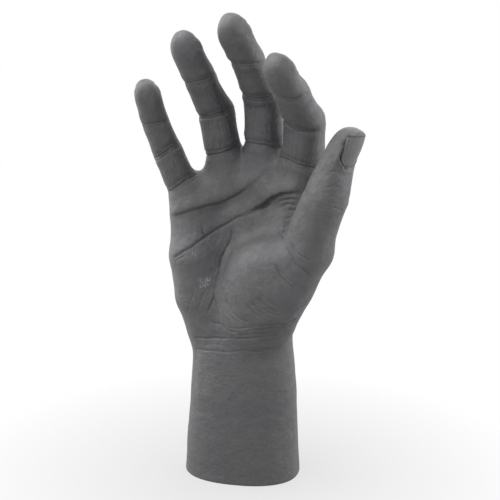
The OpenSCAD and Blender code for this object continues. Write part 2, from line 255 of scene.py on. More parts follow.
    def back_height(self, s):
        """Height of the back of the digit above its centre line, to the very tip."""
        beyond = np.clip((s - self.cap_at) / self.cap, 0, 1)
        power = self.NAIL_POWER
        return np.interp(s, self.s, self.half_back) * (1 - beyond ** (self.blunt * power)) ** (1 / power)


def finger_digit(row):
    """A finger from its row of named sizes: bones bent in one plane that leans and turns."""
    roll = np.radians(row["roll"])
    dirs, palms = [], []
    for splay, bend in zip(np.radians(row["splays"]), np.radians(np.cumsum(row["bends"]))):
        straight = np.array([np.sin(splay), 0, np.cos(splay)])
        facing = np.array([np.sin(roll), -np.cos(roll), 0])
        facing = unit(facing - straight * (facing @ straight))
        dirs.append(straight * np.cos(bend) + facing * np.sin(bend))
        palms.append(facing * np.cos(bend) - straight * np.sin(bend))
    return Digit(WRIST_AT + row["knuckle"], row, dirs, palms, FINGER_BACK, pad=1.0, blunt=1.0)


def thumb_digit(row):
    """The thumb: each bone leans and turns by its own angles."""
    dirs = []
    for lean, reach in zip(np.radians(row["lean"]), np.radians(row["reach"])):
        dirs.append(np.array([np.sin(lean) * np.cos(reach), -np.sin(reach), np.cos(lean) * np.cos(reach)]))
    palms = []
    for direction, roll in zip(dirs, np.radians(row["roll"])):
        pad = np.array([-np.cos(roll), np.sin(roll), 0])
        palms.append(unit(pad - direction * (pad @ direction)))
    return Digit(WRIST_AT + row["root"], row, dirs, palms, THUMB_BACK, pad=1.2, blunt=1.3)


DIGITS = {name: finger_digit(row) for name, row in FINGERS.items()}
DIGITS["thumb"] = thumb_digit(THUMB)
KNUCKLES = {name: digit.joints[0] for name, digit in DIGITS.items()}


def smooth_min(a, b, k):
    """Union of two fields with a fillet about k wide."""
    h = np.clip(0.5 + 0.5 * (b - a) / k, 0, 1)
    return b + (a - b) * h - k * h * (1 - h)


def cone(a, b, ra, rb):
    """Field of two balls and the straight taper between them."""
    a, b = np.array(a, float), np.array(b, float)
    axis = b - a
    length2 = axis @ axis
    fall = ra - rb
    flat2 = length2 - fall * fall

    def field(p):
        pa = p - a
        y = pa @ axis
        z = y - length2
        x2 = ((pa * length2 - y[:, None] * axis) ** 2).sum(1)
        y2 = y * y * length2
        z2 = z * z * length2
        k = np.sign(fall) * fall * fall * x2
        end = np.sqrt(x2 + z2) / length2 - rb
        start = np.sqrt(x2 + y2) / length2 - ra
        middle = (np.sqrt(x2 * flat2 / length2) + y * fall) / length2 - ra
        below_end = np.where(np.sign(y) * flat2 * y2 < k, start, middle)
        return np.where(np.sign(z) * flat2 * z2 > k, end, below_end)

    low = np.minimum(a - ra, b - rb)
    high = np.maximum(a + ra, b + rb)
    return field, low, high


def lump(centre, sizes, along, facing):
    """Field of an ellipsoid whose first axis lies along one direction and second faces another."""
    centre = np.array(centre, float)
    x = unit(along)
    y = unit(np.array(facing, float) - x * (np.array(facing, float) @ x))
    axes = np.stack([x, y, np.cross(x, y)])
    sizes = np.array(sizes, float)

    def field(p):
        q = (p - centre) @ axes.T
        k0 = np.sqrt(((q / sizes) ** 2).sum(1))
        k1 = np.sqrt(((q / sizes ** 2) ** 2).sum(1))
        return k0 * (k0 - 1) / np.maximum(k1, 1e-6)

    reach = np.abs(axes.T) @ sizes
    return field, centre - reach, centre + reach


def chain(parts, fillet):
    """Field of several forms that are joined before they meet the rest."""

    def field(p):
        out = parts[0][0](p)
        for part in parts[1:]:
            out = smooth_min(out, part[0](p), fillet)
        return out

    return field, np.min([part[1] for part in parts], axis=0), np.max([part[2] for part in parts], axis=0)


# Forearm stump: heights, half widths, half depths, sideways shift and turn of its sections
FOREARM = np.array([
    [-10, 34.3, 25.3, 0.0, 8],
    [0, 34.0, 25.0, 0.0, 8],
    [25, 32.8, 24.0, 0.2, 7],
    [50, 31.5, 22.6, 0.7, 5],
    [66, 30.3, 21.2, 0.7, 3],
    [77, 29.6, 20.2, 0.3, 2],
    [90, 29.2, 18.6, 0.1, 1],
    [104, 26.0, 14.5, -1.0, 0],
    [118, 20.0, 8.0, -1.0, 0],
])
# Power of the ovals, and half width and half depth of the space that they need
FOREARM_POWER = 2.3
FOREARM_REACH = (36, 27)


def forearm(points):
    """Field of the forearm stump and wrist: ovals stacked along the height."""
    z = points[:, 2]
    w, d, shift, turn = (np.interp(z, FOREARM[:, 0], FOREARM[:, k]) for k in range(1, 5))
    turn = np.radians(turn)
    across = points[:, 0] - shift
    x = across * np.cos(turn) + points[:, 1] * np.sin(turn)
    y = points[:, 1] * np.cos(turn) - across * np.sin(turn)
    g = (np.abs(x / w) ** FOREARM_POWER + np.abs(y / d) ** FOREARM_POWER) ** (1 / FOREARM_POWER)
    k1 = np.sqrt((x / w ** 2) ** 2 + (y / d ** 2) ** 2)
    side = g * (g - 1) / np.maximum(k1, 0.01)
    return np.maximum(side, z - FOREARM[-1, 0])


# Bones of the palm: root at the wrist, and half thickness of the palm at the knuckle
HAND_BONES = {
    "index": ((11, 1, 88), 12),
    "middle": ((4, 2, 88), 12.5),
    "ring": ((-4, 2, 88), 12),
    "little": ((-11, 0, 88), 9.5),
}
BONE_ROOT_R = 15.5
# How far the web between two fingers reaches up each of them
WEB_REACH = {("index", "middle"): (13, 13), ("middle", "ring"): (12, 12), ("ring", "little"): (10.5, 7.5)}
WEB_R = 6.5
PAD_R = 8.5
PAD_SHIFT = (0, -4, 1)
CORD_R = 3


def hand_bones():
    """Bones of the palm with the muscle between them."""
    forms = []
    for name, (root, thick) in HAND_BONES.items():
        forms.append((cone(root, KNUCKLES[name] + (0, -0.5, -4), BONE_ROOT_R, thick), 5))
    for one, two in WEB_REACH:
        low = (np.array(HAND_BONES[one][0]) + HAND_BONES[two][0]) / 2 + (0, -0.5, 0)
        high = (KNUCKLES[one] + KNUCKLES[two]) / 2 + (0, -1, -8)
        forms.append((cone(low, high, BONE_ROOT_R, 11), 5))
    return forms


def finger_webs():
    """Webs between the fingers, each with the skin below it."""
    forms = []
    for (one, two), reach in WEB_REACH.items():
        ends = [DIGITS[name].at(far) for name, far in zip((one, two), reach)]
        middle = (ends[0] + ends[1]) / 2
        pit = (KNUCKLES[one] + KNUCKLES[two]) / 2
        forms.append((cone(*ends, WEB_R, WEB_R), 5))
        forms.append((cone(middle + (0, 0, -2), pit, WEB_R + 1, 11), 6))
    return forms


def finger_pads():
    """Pads of the palm below the fingers."""
    pads = [[KNUCKLES[name] + PAD_SHIFT for name in pair] for pair in WEB_REACH]
    return [(cone(*ends, PAD_R, PAD_R), 6) for ends in pads]


def thumb_ball():
    """Ball of the thumb, its root at the wrist, and the sheets of muscle from it to the palm."""
    base, knuckle = DIGITS["thumb"].joints[:2]
    along = knuckle - base
    index = KNUCKLES["index"]
    web = cone(base + 0.9 * along + (-7, 4, -2), index + (-6, -3, -24), 8, 9)
    sheet = cone(base + 0.8 * along + (-10, 4, -2), (9, -4, 128), 10, 10.5)
    behind = cone(base + 0.45 * along + (-3, 2, 0), index + (-4, -1, -38), 10, 10)
    belly = lump(base + 0.38 * along + (-13, -1, -1), (31, 14.5, 22), along, (0.1, -1, 0))
    root = lump(base + (-5.5, -2, -1), (22, 13, 18.5), (0.25, 0, 1), (0.2, -1, 0))
    return [(web, 8), (sheet, 7), (behind, 7), (belly, 11), (root, 8)]


def little_ball():
    """Ball of the little finger's side, from the wrist to that finger's knuckle."""
    little = KNUCKLES["little"]
    heel, heel_r = (-23.2, -5, 106), 15.6
    side, side_r = little + (3.3, -3, -26), 15.2
    below = cone(heel, (-20, -3, 87), heel_r, 12)
    beside = cone(heel, side, heel_r, side_r)
    above = cone(side, little + (0.4, -2, -6), side_r, 10.7)
    return [(chain((below, beside, above), 2), 8)]


def back_forms():
    """Knuckles and the finger straighteners' cords on the back, and the head of the ulna at the wrist."""
    forms = []
    for name, (root, _) in HAND_BONES.items():
        digit = DIGITS[name]
        out = unit(-digit.palm[0])
        head = KNUCKLES[name] + out * (0.42 * FINGERS[name]["depths"][0] - 1.5) + (0, 0, -3)
        start = np.array(root) * (0.9, 0, 1) + (0, 15, 12)
        forms.append((lump(head, (8.5, 5.5, 7), digit.tangent[0], out), 5))
        forms.append((cone(start, head + out * CORD_R / 2, CORD_R, CORD_R), 6))
    ulna = lump((-19, 12, 72), (10, 9, 9), (0, 0, 1), (-0.5, 1, 0))
    return [*forms, (ulna, 8)]


# Forms of the palm in the order in which they are joined, each with the fillet that it blends in by
PALM_FORMS = [*hand_bones(), *finger_webs(), *finger_pads(), *thumb_ball(), *little_ball(), *back_forms()]
# Room round a digit's centre line, fillet between digits, and fillet where they leave the palm
DIGIT_REACH = 14.0
DIGIT_FILLET = 1.2
ROOT_FILLET = 7.0
# Room round the part's box
BOX_MARGIN = 6


class Grid:
    """Block of evenly spaced field values round the hand."""

    # Field value where no form is near
    FAR = 12.0

    def __init__(self, low, high, step):
        self.step = step
        self.low = np.array(low, float)
        self.count = np.ceil((np.array(high, float) - self.low) / step).astype(int) + 1
        self.values = np.full(self.count, self.FAR, np.float32)

    def window(self, low, high, margin):
        """Part of the block round a form: its slices and the places of its values."""
        first = np.clip(np.floor((low - margin - self.low) / self.step).astype(int), 0, self.count - 1)
        last = np.clip(np.ceil((high + margin - self.low) / self.step).astype(int) + 1, 1, self.count)
        slices = tuple(slice(a, b) for a, b in zip(first, last))
        axes = [self.low[k] + self.step * np.arange(first[k], last[k]) for k in range(3)]
        places = np.stack(np.meshgrid(*axes, indexing="ij"), -1).reshape(-1, 3)
        return slices, places

    def add(self, field, low, high, fillet):
        """Joins one form to what is there."""
        slices, places = self.window(low, high, fillet + self.FAR)
        part = self.values[slices]
        new = field(places).reshape(part.shape)
        self.values[slices] = smooth_min(part, new, fillet) if fillet > 0 else np.minimum(part, new)

    def surface(self):
        """Points in millimetres and quads of the skin where the field is zero."""
        volume = openvdb.FloatGrid(self.FAR)
        volume.copyFromArray(np.ascontiguousarray(self.values))
        points, quads = volume.convertToQuads(0.0)
        return points * self.step + self.low, quads


def hand_surface(step):
    """Skin of the hand before its details: palm and wrist blended, then the digits."""
    low = np.array(CAD_BOX[0]) / MM - BOX_MARGIN
    high = np.array(CAD_BOX[1]) / MM + BOX_MARGIN
    palm = Grid(low, high, step)
    reach = np.array(FOREARM_REACH)
    palm.add(forearm, np.array([*-reach, low[2]]), np.array([*reach, FOREARM[-1, 0]]), 0)
    for (field, form_low, form_high), fillet in PALM_FORMS:
        palm.add(field, form_low, form_high, fillet)
    digits = Grid(low, high, step)
    for digit in DIGITS.values():
        first, last = digit.line.min(0) - DIGIT_REACH, digit.line.max(0) + DIGIT_REACH
        digits.add(digit.field, first, last, DIGIT_FILLET)
    palm.values = smooth_min(palm.values, digits.values, ROOT_FILLET)
    return palm.surface()


def inside(points, low, high, margin):
    """Which points lie in a box."""
    return np.all((points > low - margin) & (points < high + margin), axis=1)


def digit_fields(points):
    """Field of each digit at the points, far where the digit is far."""
    fields = np.full((len(DIGITS), len(points)), Grid.FAR)
    for row, digit in zip(fields, DIGITS.values()):
        near = inside(points, digit.line.min(0), digit.line.max(0), DIGIT_REACH + 4)
        if near.any():
            row[near] = np.minimum(digit.field(points[near]), Grid.FAR)
    return fields


def skin_field(points):
    """Signed distance to the smooth skin."""
    palm = np.minimum(forearm(points), Grid.FAR)
    for (field, low, high), fillet in PALM_FORMS:
        near = inside(points, low, high, fillet + Grid.FAR)
        if near.any():
            palm[near] = smooth_min(palm[near], field(points[near]), fillet)
    digits = np.full(len(points), Grid.FAR)
    for row in digit_fields(points):
        digits = smooth_min(digits, row, DIGIT_FILLET)
    return smooth_min(palm, digits, ROOT_FILLET)


# Large numbers that scatter the cells of the random lattice
CELL_HASH = (73856093, 19349663, 83492791)
SEED_HASH = 2654435
MIX_HASH = 1274126177


def lattice_noise(points, size, seed):
    """Smooth random values from -1 to 1 with lumps of the given size."""
    q = points / size
    cell = np.floor(q).astype(np.int64)
    part = q - cell
    part = part * part * (3 - 2 * part)
    total = np.zeros(len(points))
    for corner in np.ndindex(2, 2, 2):
        code = np.bitwise_xor.reduce((cell + corner) * CELL_HASH, axis=1) ^ seed * SEED_HASH
        code = (code ^ code >> 13) * MIX_HASH & 0x7FFFFFFF
        value = (code >> 8 & 0xFFFF) / 32767.5 - 1
        total += value * np.prod(np.where(corner, part, 1 - part), axis=1)
    return total


# Creases across the palm side of each finger: place along the finger, tilt, sag towards the palm and depth
FINGER_CREASES = {
    "index": {
        "base": (21.9, 0.3, 3.5, 1.0),
        "middle": (48.0, 2.0, 6.0, 1.15),
        "end": (72.4, 0.5, 2.5, 1.05),
    },
    "middle": {
        "base": (25.8, 0.5, 2.5, 0.95),
        "middle": (57.8, 0.5, 2.0, 1.2),
        "end": (82.8, 0.5, 4.5, 1.0),
    },
    "ring": {
        "base": (23.8, -2.5, 1.5, 0.95),
        "middle": (50.8, -2.0, 5.0, 1.2),
        "end": (75.3, -1.0, 3.0, 0.85),
    },
    "little": {
        "base": (18.9, -2.0, 1.5, 0.9),
        "middle": (41.3, -2.5, 3.0, 1.0),
        "end": (60.4, 0.6, 3.0, 0.75),
    },
}
# Lines that make up each kind of crease: offset along the finger and share of the depth
CREASE_LINES = {
    "base": ((0.0, 1.0), (2.2, 0.45), (-1.6, 0.25)),
    "middle": ((-1.9, 0.55), (0.0, 1.0), (2.1, 0.6), (3.6, 0.25)),
    "end": ((0.0, 1.0), (-1.9, 0.35), (1.6, 0.2)),
}
# Wrinkles on the backs of the joints: offset along the digit and depth
KNUCKLE_LINES = ((-5.2, 0.22), (-3.4, 0.34), (-1.7, 0.42), (0.2, 0.40), (2.1, 0.36), (4.0, 0.24))
END_KNUCKLE_LINES = ((-2.2, 0.20), (-0.7, 0.28), (0.9, 0.24), (2.4, 0.14))
# How far round a digit its knuckle wrinkles reach in degrees, over how many more they fade, and other reaches
WRINKLE_REACH = 40
WRINKLE_FADE = 35
OTHER_REACH = {"ring": 62, "thumb": 55}
# Depth of those wrinkles as a share, where that isn't 1
WRINKLE_SHARE = {"thumb": 0.5}
# Creases on the palm side of the thumb's knuckle, then of its end joint: place, tilt, sag and depth
THUMB_CREASES = ((55.0, 4.0, 2.0, 0.5), (51.5, 4.5, 2.0, 0.35), (84.0, 0.5, 2.0, 0.6), (81.8, 0.5, 2.0, 0.3))
# Between which angles from the palm side the creases fade out, in degrees
CREASE_FADE = (55, 100)
CREASE_WIDTH = 0.55
WRINKLE_WIDTH = 0.62
# Height of the swelling beside a finger's main crease as a share of its depth, its distance and its width
SWELL = (0.25, 4.2, 2.4)
# Height and half length of the swelling under a joint's wrinkles
KNUCKLE_SWELL = (0.5, 6)
# Distance that stands for no line nearby, and the distance added where a line has faded out
FAR_AWAY = 99.0
FADED_AWAY = 40


class Nail(NamedTuple):
    """Nail: short is how far its free edge stops before the tip, lift raises that edge or sinks it."""

    width: float
    length: float
    short: float
    lift: float
    roundness: float
    groove: float


NAILS = {
    "index": Nail(11.5, 11.0, 4.2, 0.8, 2.0, 0.7),
    "middle": Nail(12.0, 11.5, 2.6, 0.6, 2.0, 0.7),
    "ring": Nail(11.0, 11.0, 2.8, 0.2, 2.0, 0.5),
    "little": Nail(9.2, 9.0, 2.4, 0.2, 1.8, 0.4),
    "thumb": Nail(17.4, 16.2, 2.5, -0.1, 1.2, 1.6),
}
# Height of the fold round a nail and depth of its bed, as shares of the groove's depth
FOLD_SHARE = 0.5
BED_SHARE = 0.85
# Distance of the fold's crest from the groove, and half width of the crest
FOLD_AT = 1.4
FOLD_WIDTH = 0.9
# Share of the nail's length over which the corners at its root are round
NAIL_CORNER = 0.28
# Share of the nail's length up to which the skin's lines are refined
NAIL_LINES_END = 1.15


def groove(away, width):
    """Shape of a crease about 1 deep: a narrow cut in a soft hollow."""
    return 0.88 * bell(away, width) + 0.27 * bell(away, 4 * width)


def nail_half_width(name, v):
    """Half width of the nail at a share of its length, with round corners at the root."""
    corner = np.clip((NAIL_CORNER - v) / NAIL_CORNER, 0, 1)
    bulge = 0.97 + 0.04 * np.sin(np.pi * np.clip(v, 0, 1))
    return NAILS[name].width / 2 * bulge * np.sqrt(1 - 0.7 * corner ** 2)


def nail_share(name, along):
    """Share of the nail's length, 0 at its root and 1 at its free edge."""
    nail = NAILS[name]
    return (along - DIGITS[name].ends[-1] + nail.short + nail.length) / nail.length


def nail_marks(name, along, a, b):
    """Fold of skin round the nail and the sunk bed below it: height, and nearness to the nail's outline."""
    nail = NAILS[name]
    v = nail_share(name, along)
    half = nail_half_width(name, v)
    to_side = np.abs(a) - half
    to_edge = (v - 1) * nail.length + nail.roundness * np.minimum(np.abs(a) / half, 1) ** 2
    to_root = -v * nail.length
    to_end = np.maximum(to_root, to_edge)
    nearest = np.maximum(to_side, to_end)
    away = np.where(nearest > 0, np.hypot(np.maximum(to_side, 0), np.maximum(to_end, 0)), nearest)
    fades = 1 - smooth_step(0.75, 1.0, v)
    beside = np.maximum(to_side, to_root) > to_edge
    place = np.where(beside, 0.8, 0.2)
    cut = bell(away - place, np.where(beside, 0.65, 0.5))
    fold = FOLD_SHARE * bell(away - place - FOLD_AT, FOLD_WIDTH) * fades - cut * (0.4 + 0.6 * fades)
    # The thumb's fold is lower on one side
    if name == "thumb":
        fold *= 1 - 0.7 * smooth_step(1, 5, a)
    bed = BED_SHARE * smooth_step(0.5, -0.5, away)
    near = np.where((b < 0) & (v <= NAIL_LINES_END), np.abs(away), FAR_AWAY)
    return nail.groove * (fold - bed) * smooth_step(1.0, -1.0, b), near


def crease_rows(name):
    """Lines of a digit's creases: the crease's place, tilt, sag and depth, the line's offset and share."""
    if name == "thumb":
        return [(*row, 0.0, 1.0) for row in THUMB_CREASES]
    creases = FINGER_CREASES[name].items()
    return [(*row, offset, share) for kind, row in creases for offset, share in CREASE_LINES[kind]]


def palm_creases(name, along, angle, seed, wobble):
    """Creases on the palm side of one digit: height, and nearness to their lines."""
    height = np.zeros(len(along))
    near = np.full(len(along), FAR_AWAY)
    fade = 1 - smooth_step(*np.radians(CREASE_FADE), np.abs(angle))
    swell, aside, width = SWELL
    for place, tilt, sag, depth, offset, share in crease_rows(name):
        away = along - place - offset - tilt * np.sin(angle) + sag * (1 - np.cos(angle)) - wobble
        strength = depth * share * fade * (0.85 + 0.15 * np.sin(5 * angle + seed + offset))
        height -= strength * groove(away, CREASE_WIDTH)
        if share == 1:
            height += swell * strength * (bell(away - aside, width) + bell(away + aside, width))
        near = np.minimum(near, np.abs(away) + FADED_AWAY * (1 - fade))
    return height, near


def back_wrinkles(name, along, angle, seed, wobble):
    """Wrinkles on the backs of one digit's joints: height, and nearness to their lines."""
    height = np.zeros(len(along))
    near = np.full(len(along), FAR_AWAY)
    turned = np.pi - np.abs(angle)
    back = np.sign(angle) * turned
    reach = OTHER_REACH.get(name, WRINKLE_REACH)
    fade = 1 - smooth_step(np.radians(reach), np.radians(reach + WRINKLE_FADE), turned)
    strength = WRINKLE_SHARE.get(name, 1.0) * fade
    swell, half_length = KNUCKLE_SWELL
    joints = {2: KNUCKLE_LINES} if name == "thumb" else {1: KNUCKLE_LINES, 2: END_KNUCKLE_LINES}
    for joint, rows in joints.items():
        from_joint = along - DIGITS[name].ends[joint]
        for offset, depth in rows:
            bow = offset * (1 + 0.10 * back ** 2) + 0.45 * np.sin(2.3 * back + offset + seed) + wobble
            height -= depth * strength * bell(from_joint - bow, WRINKLE_WIDTH)
            near = np.minimum(near, np.abs(from_joint - bow) + FADED_AWAY * (1 - fade))
        height += swell * strength * bell(from_joint, half_length)
    return height, near


def digit_marks(name, along, a, b):
    """Height of the creases, wrinkles and nail folds of one digit, and nearness to their lines."""
    angle = np.arctan2(a, b)
    seed = 3.0 * list(DIGITS).index(name)
    wobble = 0.30 * np.sin(3.1 * angle + seed) + 0.16 * np.sin(7.3 * angle + 2 * seed)
    creases, crease_near = palm_creases(name, along, angle, seed, wobble)
    wrinkles, wrinkle_near = back_wrinkles(name, along, angle, seed, wobble)
    folds, fold_near = nail_marks(name, along, a, b)
    return creases + wrinkles + folds, np.minimum.reduce([crease_near, wrinkle_near, fold_near])


# Lines of the palm and wrist, as pixels of the photograph
HEART_LINE = (
    (171, 217), (181, 215), (200, 209), (223, 203),
    (242, 192.5), (257, 181), (268, 172), (274, 165),
)
HEAD_LINE = ((171, 259.5), (179, 254.5), (191, 247), (210, 233.6), (231, 222), (255, 210))
HEAD_FOLD = ((243, 217), (255, 210.5), (264, 206), (271, 200.4), (280, 195.6), (291, 193.8), (303, 194.2))
SECOND_FOLD = ((278, 203.5), (284, 199.9), (292, 199.9), (301, 201.3))
CRUMPLE_1 = ((278.7, 206.9), (282.7, 207.2), (287.1, 204.6), (292, 205), (298, 206.9))
CRUMPLE_2 = ((288, 209.6), (292, 211), (296, 210.6))
CRUMPLE_3 = ((285, 217.5), (288, 218.6), (291, 217.4))
THUMB_EDGE = ((282.2, 232.6), (286, 227.2), (290.7, 220.7), (296.2, 213.6), (299, 206.5))
THUMB_LINE_1 = ((332.5, 207), (337, 209.5), (343, 210.5))
THUMB_LINE_2 = ((326, 188), (333, 186.8), (341, 188.5))
THUMB_LINE_3 = ((330, 172.5), (335, 171.5), (340, 173))
LIFE_LINE = (
    (234, 222), (231.5, 235.5), (223.3, 254), (218.2, 273),
    (215.4, 285.5), (213.8, 298), (209.6, 307.5), (205.5, 316),
)
LIFE_FORK = ((214, 297), (216, 306.6), (218.2, 312.9), (221.7, 318))
BALL_FOOT_1 = ((225.2, 296.8), (227.3, 304.5), (231.5, 311.5), (237.1, 317.1), (242.7, 321.3), (253.2, 323.6))
BALL_FOOT_2 = ((221, 300), (224, 309), (229.5, 316.5), (236, 322))
BALL_FOOT_3 = ((211.8, 323.4), (218.2, 324.3), (224.5, 329), (230.1, 331.8), (238.5, 332.5))
THUMB_ROOT_FOLD = ((281.8, 233), (283.6, 240.8), (286.3, 248.5), (293.2, 260.4), (303.7, 271.8), (312, 276))
THUMB_ROOT_SECOND = ((290, 241), (298, 253.7), (311.3, 262.3))
THUMB_ROOT_THIRD = ((292.5, 245), (297, 256), (304, 264.5))
BALL_ARC_1 = ((273, 261.3), (280.6, 276.4), (286.2, 282.7), (294.6, 290.4))
BALL_ARC_2 = ((256.8, 296.8), (262.4, 303), (269.4, 309.4), (279.2, 314.3))
BALL_ARC_3 = ((251.8, 303), (257.5, 309.4), (264.5, 316.4))
BALL_ARC_4 = ((263, 307.5), (267.3, 312.2), (274.3, 315.7), (280.6, 317))
BALL_ARC_5 = ((259.5, 293), (267, 300.5), (277, 307.5))
BALL_ARC_6 = ((246, 305), (252, 312.5), (259, 318.5))
BALL_ARC_7 = ((279, 269), (285, 277), (293, 284))
WRIST_RIDGE = ((279.2, 326.2), (289.7, 322.4), (296.4, 318.6))
WRIST_FOLD_1 = ((237.1, 334.6), (244.1, 336), (254.6, 334.8), (265.2, 336), (279, 333))
WRIST_LINE_1 = ((194.5, 338), (211.8, 338.6), (227.2, 338.8), (252, 339.4), (278.8, 336), (293.5, 329))
WRIST_LINE_2 = ((195, 349.3), (206, 350.3), (227, 352.2), (242.5, 350.9), (265.4, 351.6), (288.4, 344.6))
WRIST_LINE_3 = ((219.5, 375.2), (226, 376), (232.9, 377.1))
WRIST_LINE_4 = ((220.5, 364.7), (225, 365.2), (229.5, 364.7))
WRIST_LINE_5 = ((227, 381.9), (233, 382.8), (238.6, 382.8))
ARM_LINE = ((193.5, 411), (203, 412), (213, 412.5))
PALM_CROSS_1 = ((202.3, 225), (204.2, 233.6), (209.9, 239))
PALM_CROSS_2 = ((204.2, 243.1), (208, 246.5), (212.5, 250.5))
PALM_CROSS_3 = ((196, 231), (203, 234), (210, 234.4))
EDGE_LINE = ((180, 299), (184, 302), (188, 304.5))
EDGE_SECOND = ((174.5, 262), (179, 258.6), (185, 256))
EDGE_FINE_1 = ((207, 288), (202, 299), (197, 312))
EDGE_FINE_2 = ((195, 291), (190, 303), (186.5, 313))
EDGE_FINE_3 = ((172, 268), (178, 266), (184, 266.5))
RING_SIDE_1 = ((213.5, 82), (217, 94), (222.5, 105.5), (229, 114))
RING_SIDE_2 = ((227.5, 113), (230.8, 122), (233.2, 131), (235.4, 140))
RING_SIDE_3 = ((222, 108), (226.5, 116), (229, 126))
ARM_CORD = ((198, 352), (199.2, 366), (198.6, 384), (196.5, 406))
WRIST_FINE_1 = ((222, 326), (238, 328.5), (256, 327), (272, 326.5), (290, 322))
WRIST_FINE_2 = ((246, 331), (262, 330.5), (280, 329), (294, 325))
WRIST_FINE_3 = ((196, 344), (212, 345), (232, 345.5), (256, 345), (276, 341.5), (291, 336.5))
WRIST_FINE_4 = ((212, 333), (226, 335.5), (240, 338))
WRIST_HOLLOW = ((238, 321), (248, 326), (262, 328.5), (278, 325), (292, 320))

# Marks on the casting, as a pixel of the photograph and a radius in millimetres: scuffs and cool stains
SCUFFS = (((205, 283), 2.3), ((203, 287.5), 1.5), ((208, 279.5), 1.3), ((200.5, 282), 1.2), ((194, 254), 1.1))
STAINS = (((211, 229), 8.0), ((224, 231), 6.5), ((206, 246), 7.0), ((286, 206), 6.5), ((219, 262), 8.0))


class PalmLine(NamedTuple):
    """Line of the palm: its cut, hollow and fold, and the shares of its length between which it is full."""

    pixels: tuple
    depth: float
    width: float
    hollow: float = 0.0
    fold: float = 0.0
    fade: float = 0.14
    last: float = 0.86


PALM_LINES = (
    PalmLine(HEART_LINE, 0.6, 0.5, hollow=0.6, fold=1.1, fade=0.09, last=0.35),
    PalmLine(HEAD_LINE, 0.75, 0.45, hollow=0.15, fold=0.4, fade=0.12),
    PalmLine(HEAD_FOLD, 1.3, 0.8, hollow=0.7, fold=1.6, fade=0.3),
    PalmLine(SECOND_FOLD, 0.55, 0.5, hollow=0.2, fold=0.5),
    PalmLine(CRUMPLE_1, 0.45, 0.5, hollow=0.1, fold=0.3),
    PalmLine(CRUMPLE_2, 0.35, 0.5, hollow=0.1, fold=0.2),
    PalmLine(CRUMPLE_3, 0.3, 0.5, hollow=0.1, fold=0.2),
    PalmLine(THUMB_EDGE, 0.9, 0.9, hollow=0.5, fade=0.3, last=0.7),
    PalmLine(THUMB_LINE_1, 0.55, 0.5, hollow=0.1),
    PalmLine(THUMB_LINE_2, 0.25, 0.45),
    PalmLine(THUMB_LINE_3, 0.25, 0.45),
    PalmLine(LIFE_LINE, 0.9, 0.5, hollow=0.3),
    PalmLine(LIFE_FORK, 0.5, 0.5),
    PalmLine(BALL_FOOT_1, 0.8, 0.5, hollow=0.2),
    PalmLine(BALL_FOOT_2, 0.4, 0.45),
    PalmLine(BALL_FOOT_3, 0.6, 0.5, hollow=0.2),
    PalmLine(THUMB_ROOT_FOLD, 1.0, 0.55, hollow=0.3, fade=0.05),
    PalmLine(THUMB_ROOT_SECOND, 0.65, 0.55, hollow=0.1),
    PalmLine(THUMB_ROOT_THIRD, 0.35, 0.5),
    PalmLine(BALL_ARC_1, 0.8, 0.55, hollow=0.15),
    PalmLine(BALL_ARC_2, 0.7, 0.55, hollow=0.15),
    PalmLine(BALL_ARC_3, 0.6, 0.55, hollow=0.1),
    PalmLine(BALL_ARC_4, 0.6, 0.55, hollow=0.1),
    PalmLine(BALL_ARC_5, 0.55, 0.5),
    PalmLine(BALL_ARC_6, 0.55, 0.5),
    PalmLine(BALL_ARC_7, 0.5, 0.5),
    PalmLine(WRIST_RIDGE, 0.8, 0.6, hollow=0.3, fold=0.6),
    PalmLine(WRIST_FOLD_1, 0.5, 0.5, hollow=0.15),
    PalmLine(WRIST_LINE_1, 0.65, 0.5, hollow=0.35, fade=0.03),
    PalmLine(WRIST_LINE_2, 0.38, 0.5, hollow=0.2, fade=0.03),
    PalmLine(WRIST_LINE_3, 0.2, 0.5),
    PalmLine(WRIST_LINE_4, 0.18, 0.5),
    PalmLine(WRIST_LINE_5, 0.18, 0.5),
    PalmLine(WRIST_FINE_1, 0.38, 0.45),
    PalmLine(WRIST_FINE_2, 0.38, 0.45),
    PalmLine(WRIST_FINE_3, 0.14, 0.45),
    PalmLine(WRIST_FINE_4, 0.22, 0.45),
    PalmLine(WRIST_HOLLOW, 0.15, 0.5, hollow=0.7, fade=0.4, last=0.6),
    PalmLine(ARM_LINE, 0.25, 0.7),
    PalmLine(PALM_CROSS_1, 0.45, 0.5),
    PalmLine(PALM_CROSS_2, 0.4, 0.5),
    PalmLine(PALM_CROSS_3, 0.35, 0.5),
    PalmLine(EDGE_LINE, 0.25, 0.6),
    PalmLine(EDGE_SECOND, 0.3, 0.5),
    PalmLine(EDGE_FINE_1, 0.3, 0.5),
    PalmLine(EDGE_FINE_2, 0.22, 0.5),
    PalmLine(EDGE_FINE_3, 0.2, 0.5),
    PalmLine(RING_SIDE_1, 0.5, 0.5),
    PalmLine(RING_SIDE_2, 0.6, 0.5, hollow=0.15),
    PalmLine(RING_SIDE_3, 0.3, 0.45),
    PalmLine(ARM_CORD, -0.4, 2.6),
)


# Parts in which a line is rounded between two of its pixels, and the longest step that it takes on the skin
LINE_PARTS = 6
LONGEST_STEP = 9
# How far round a palm line its marks reach, and how far round a digit its own marks do
LINE_REACH = 12
MARK_REACH = 5
# Distance added to a point's nearness where the marks of a palm line or of a digit end
ENDED_AWAY = 20
# Nearness to a line within which the mesh is refined
REFINE_NEAR = 1.3
# Share of the way to the smooth skin that points take in one round
SETTLE_SHARE = 0.85
# Heights above the floor between which the marks of the skin rise to their full height
MARKS_RISE = (1.0, 6.0)
# Zone of the finer mesh: reach round a digit, half lengths at the backs of its joints, and length at its nail
ZONE_REACH = 3.5
KNUCKLE_ZONE = 8
END_KNUCKLE_ZONE = 5
NAIL_ZONE = 17
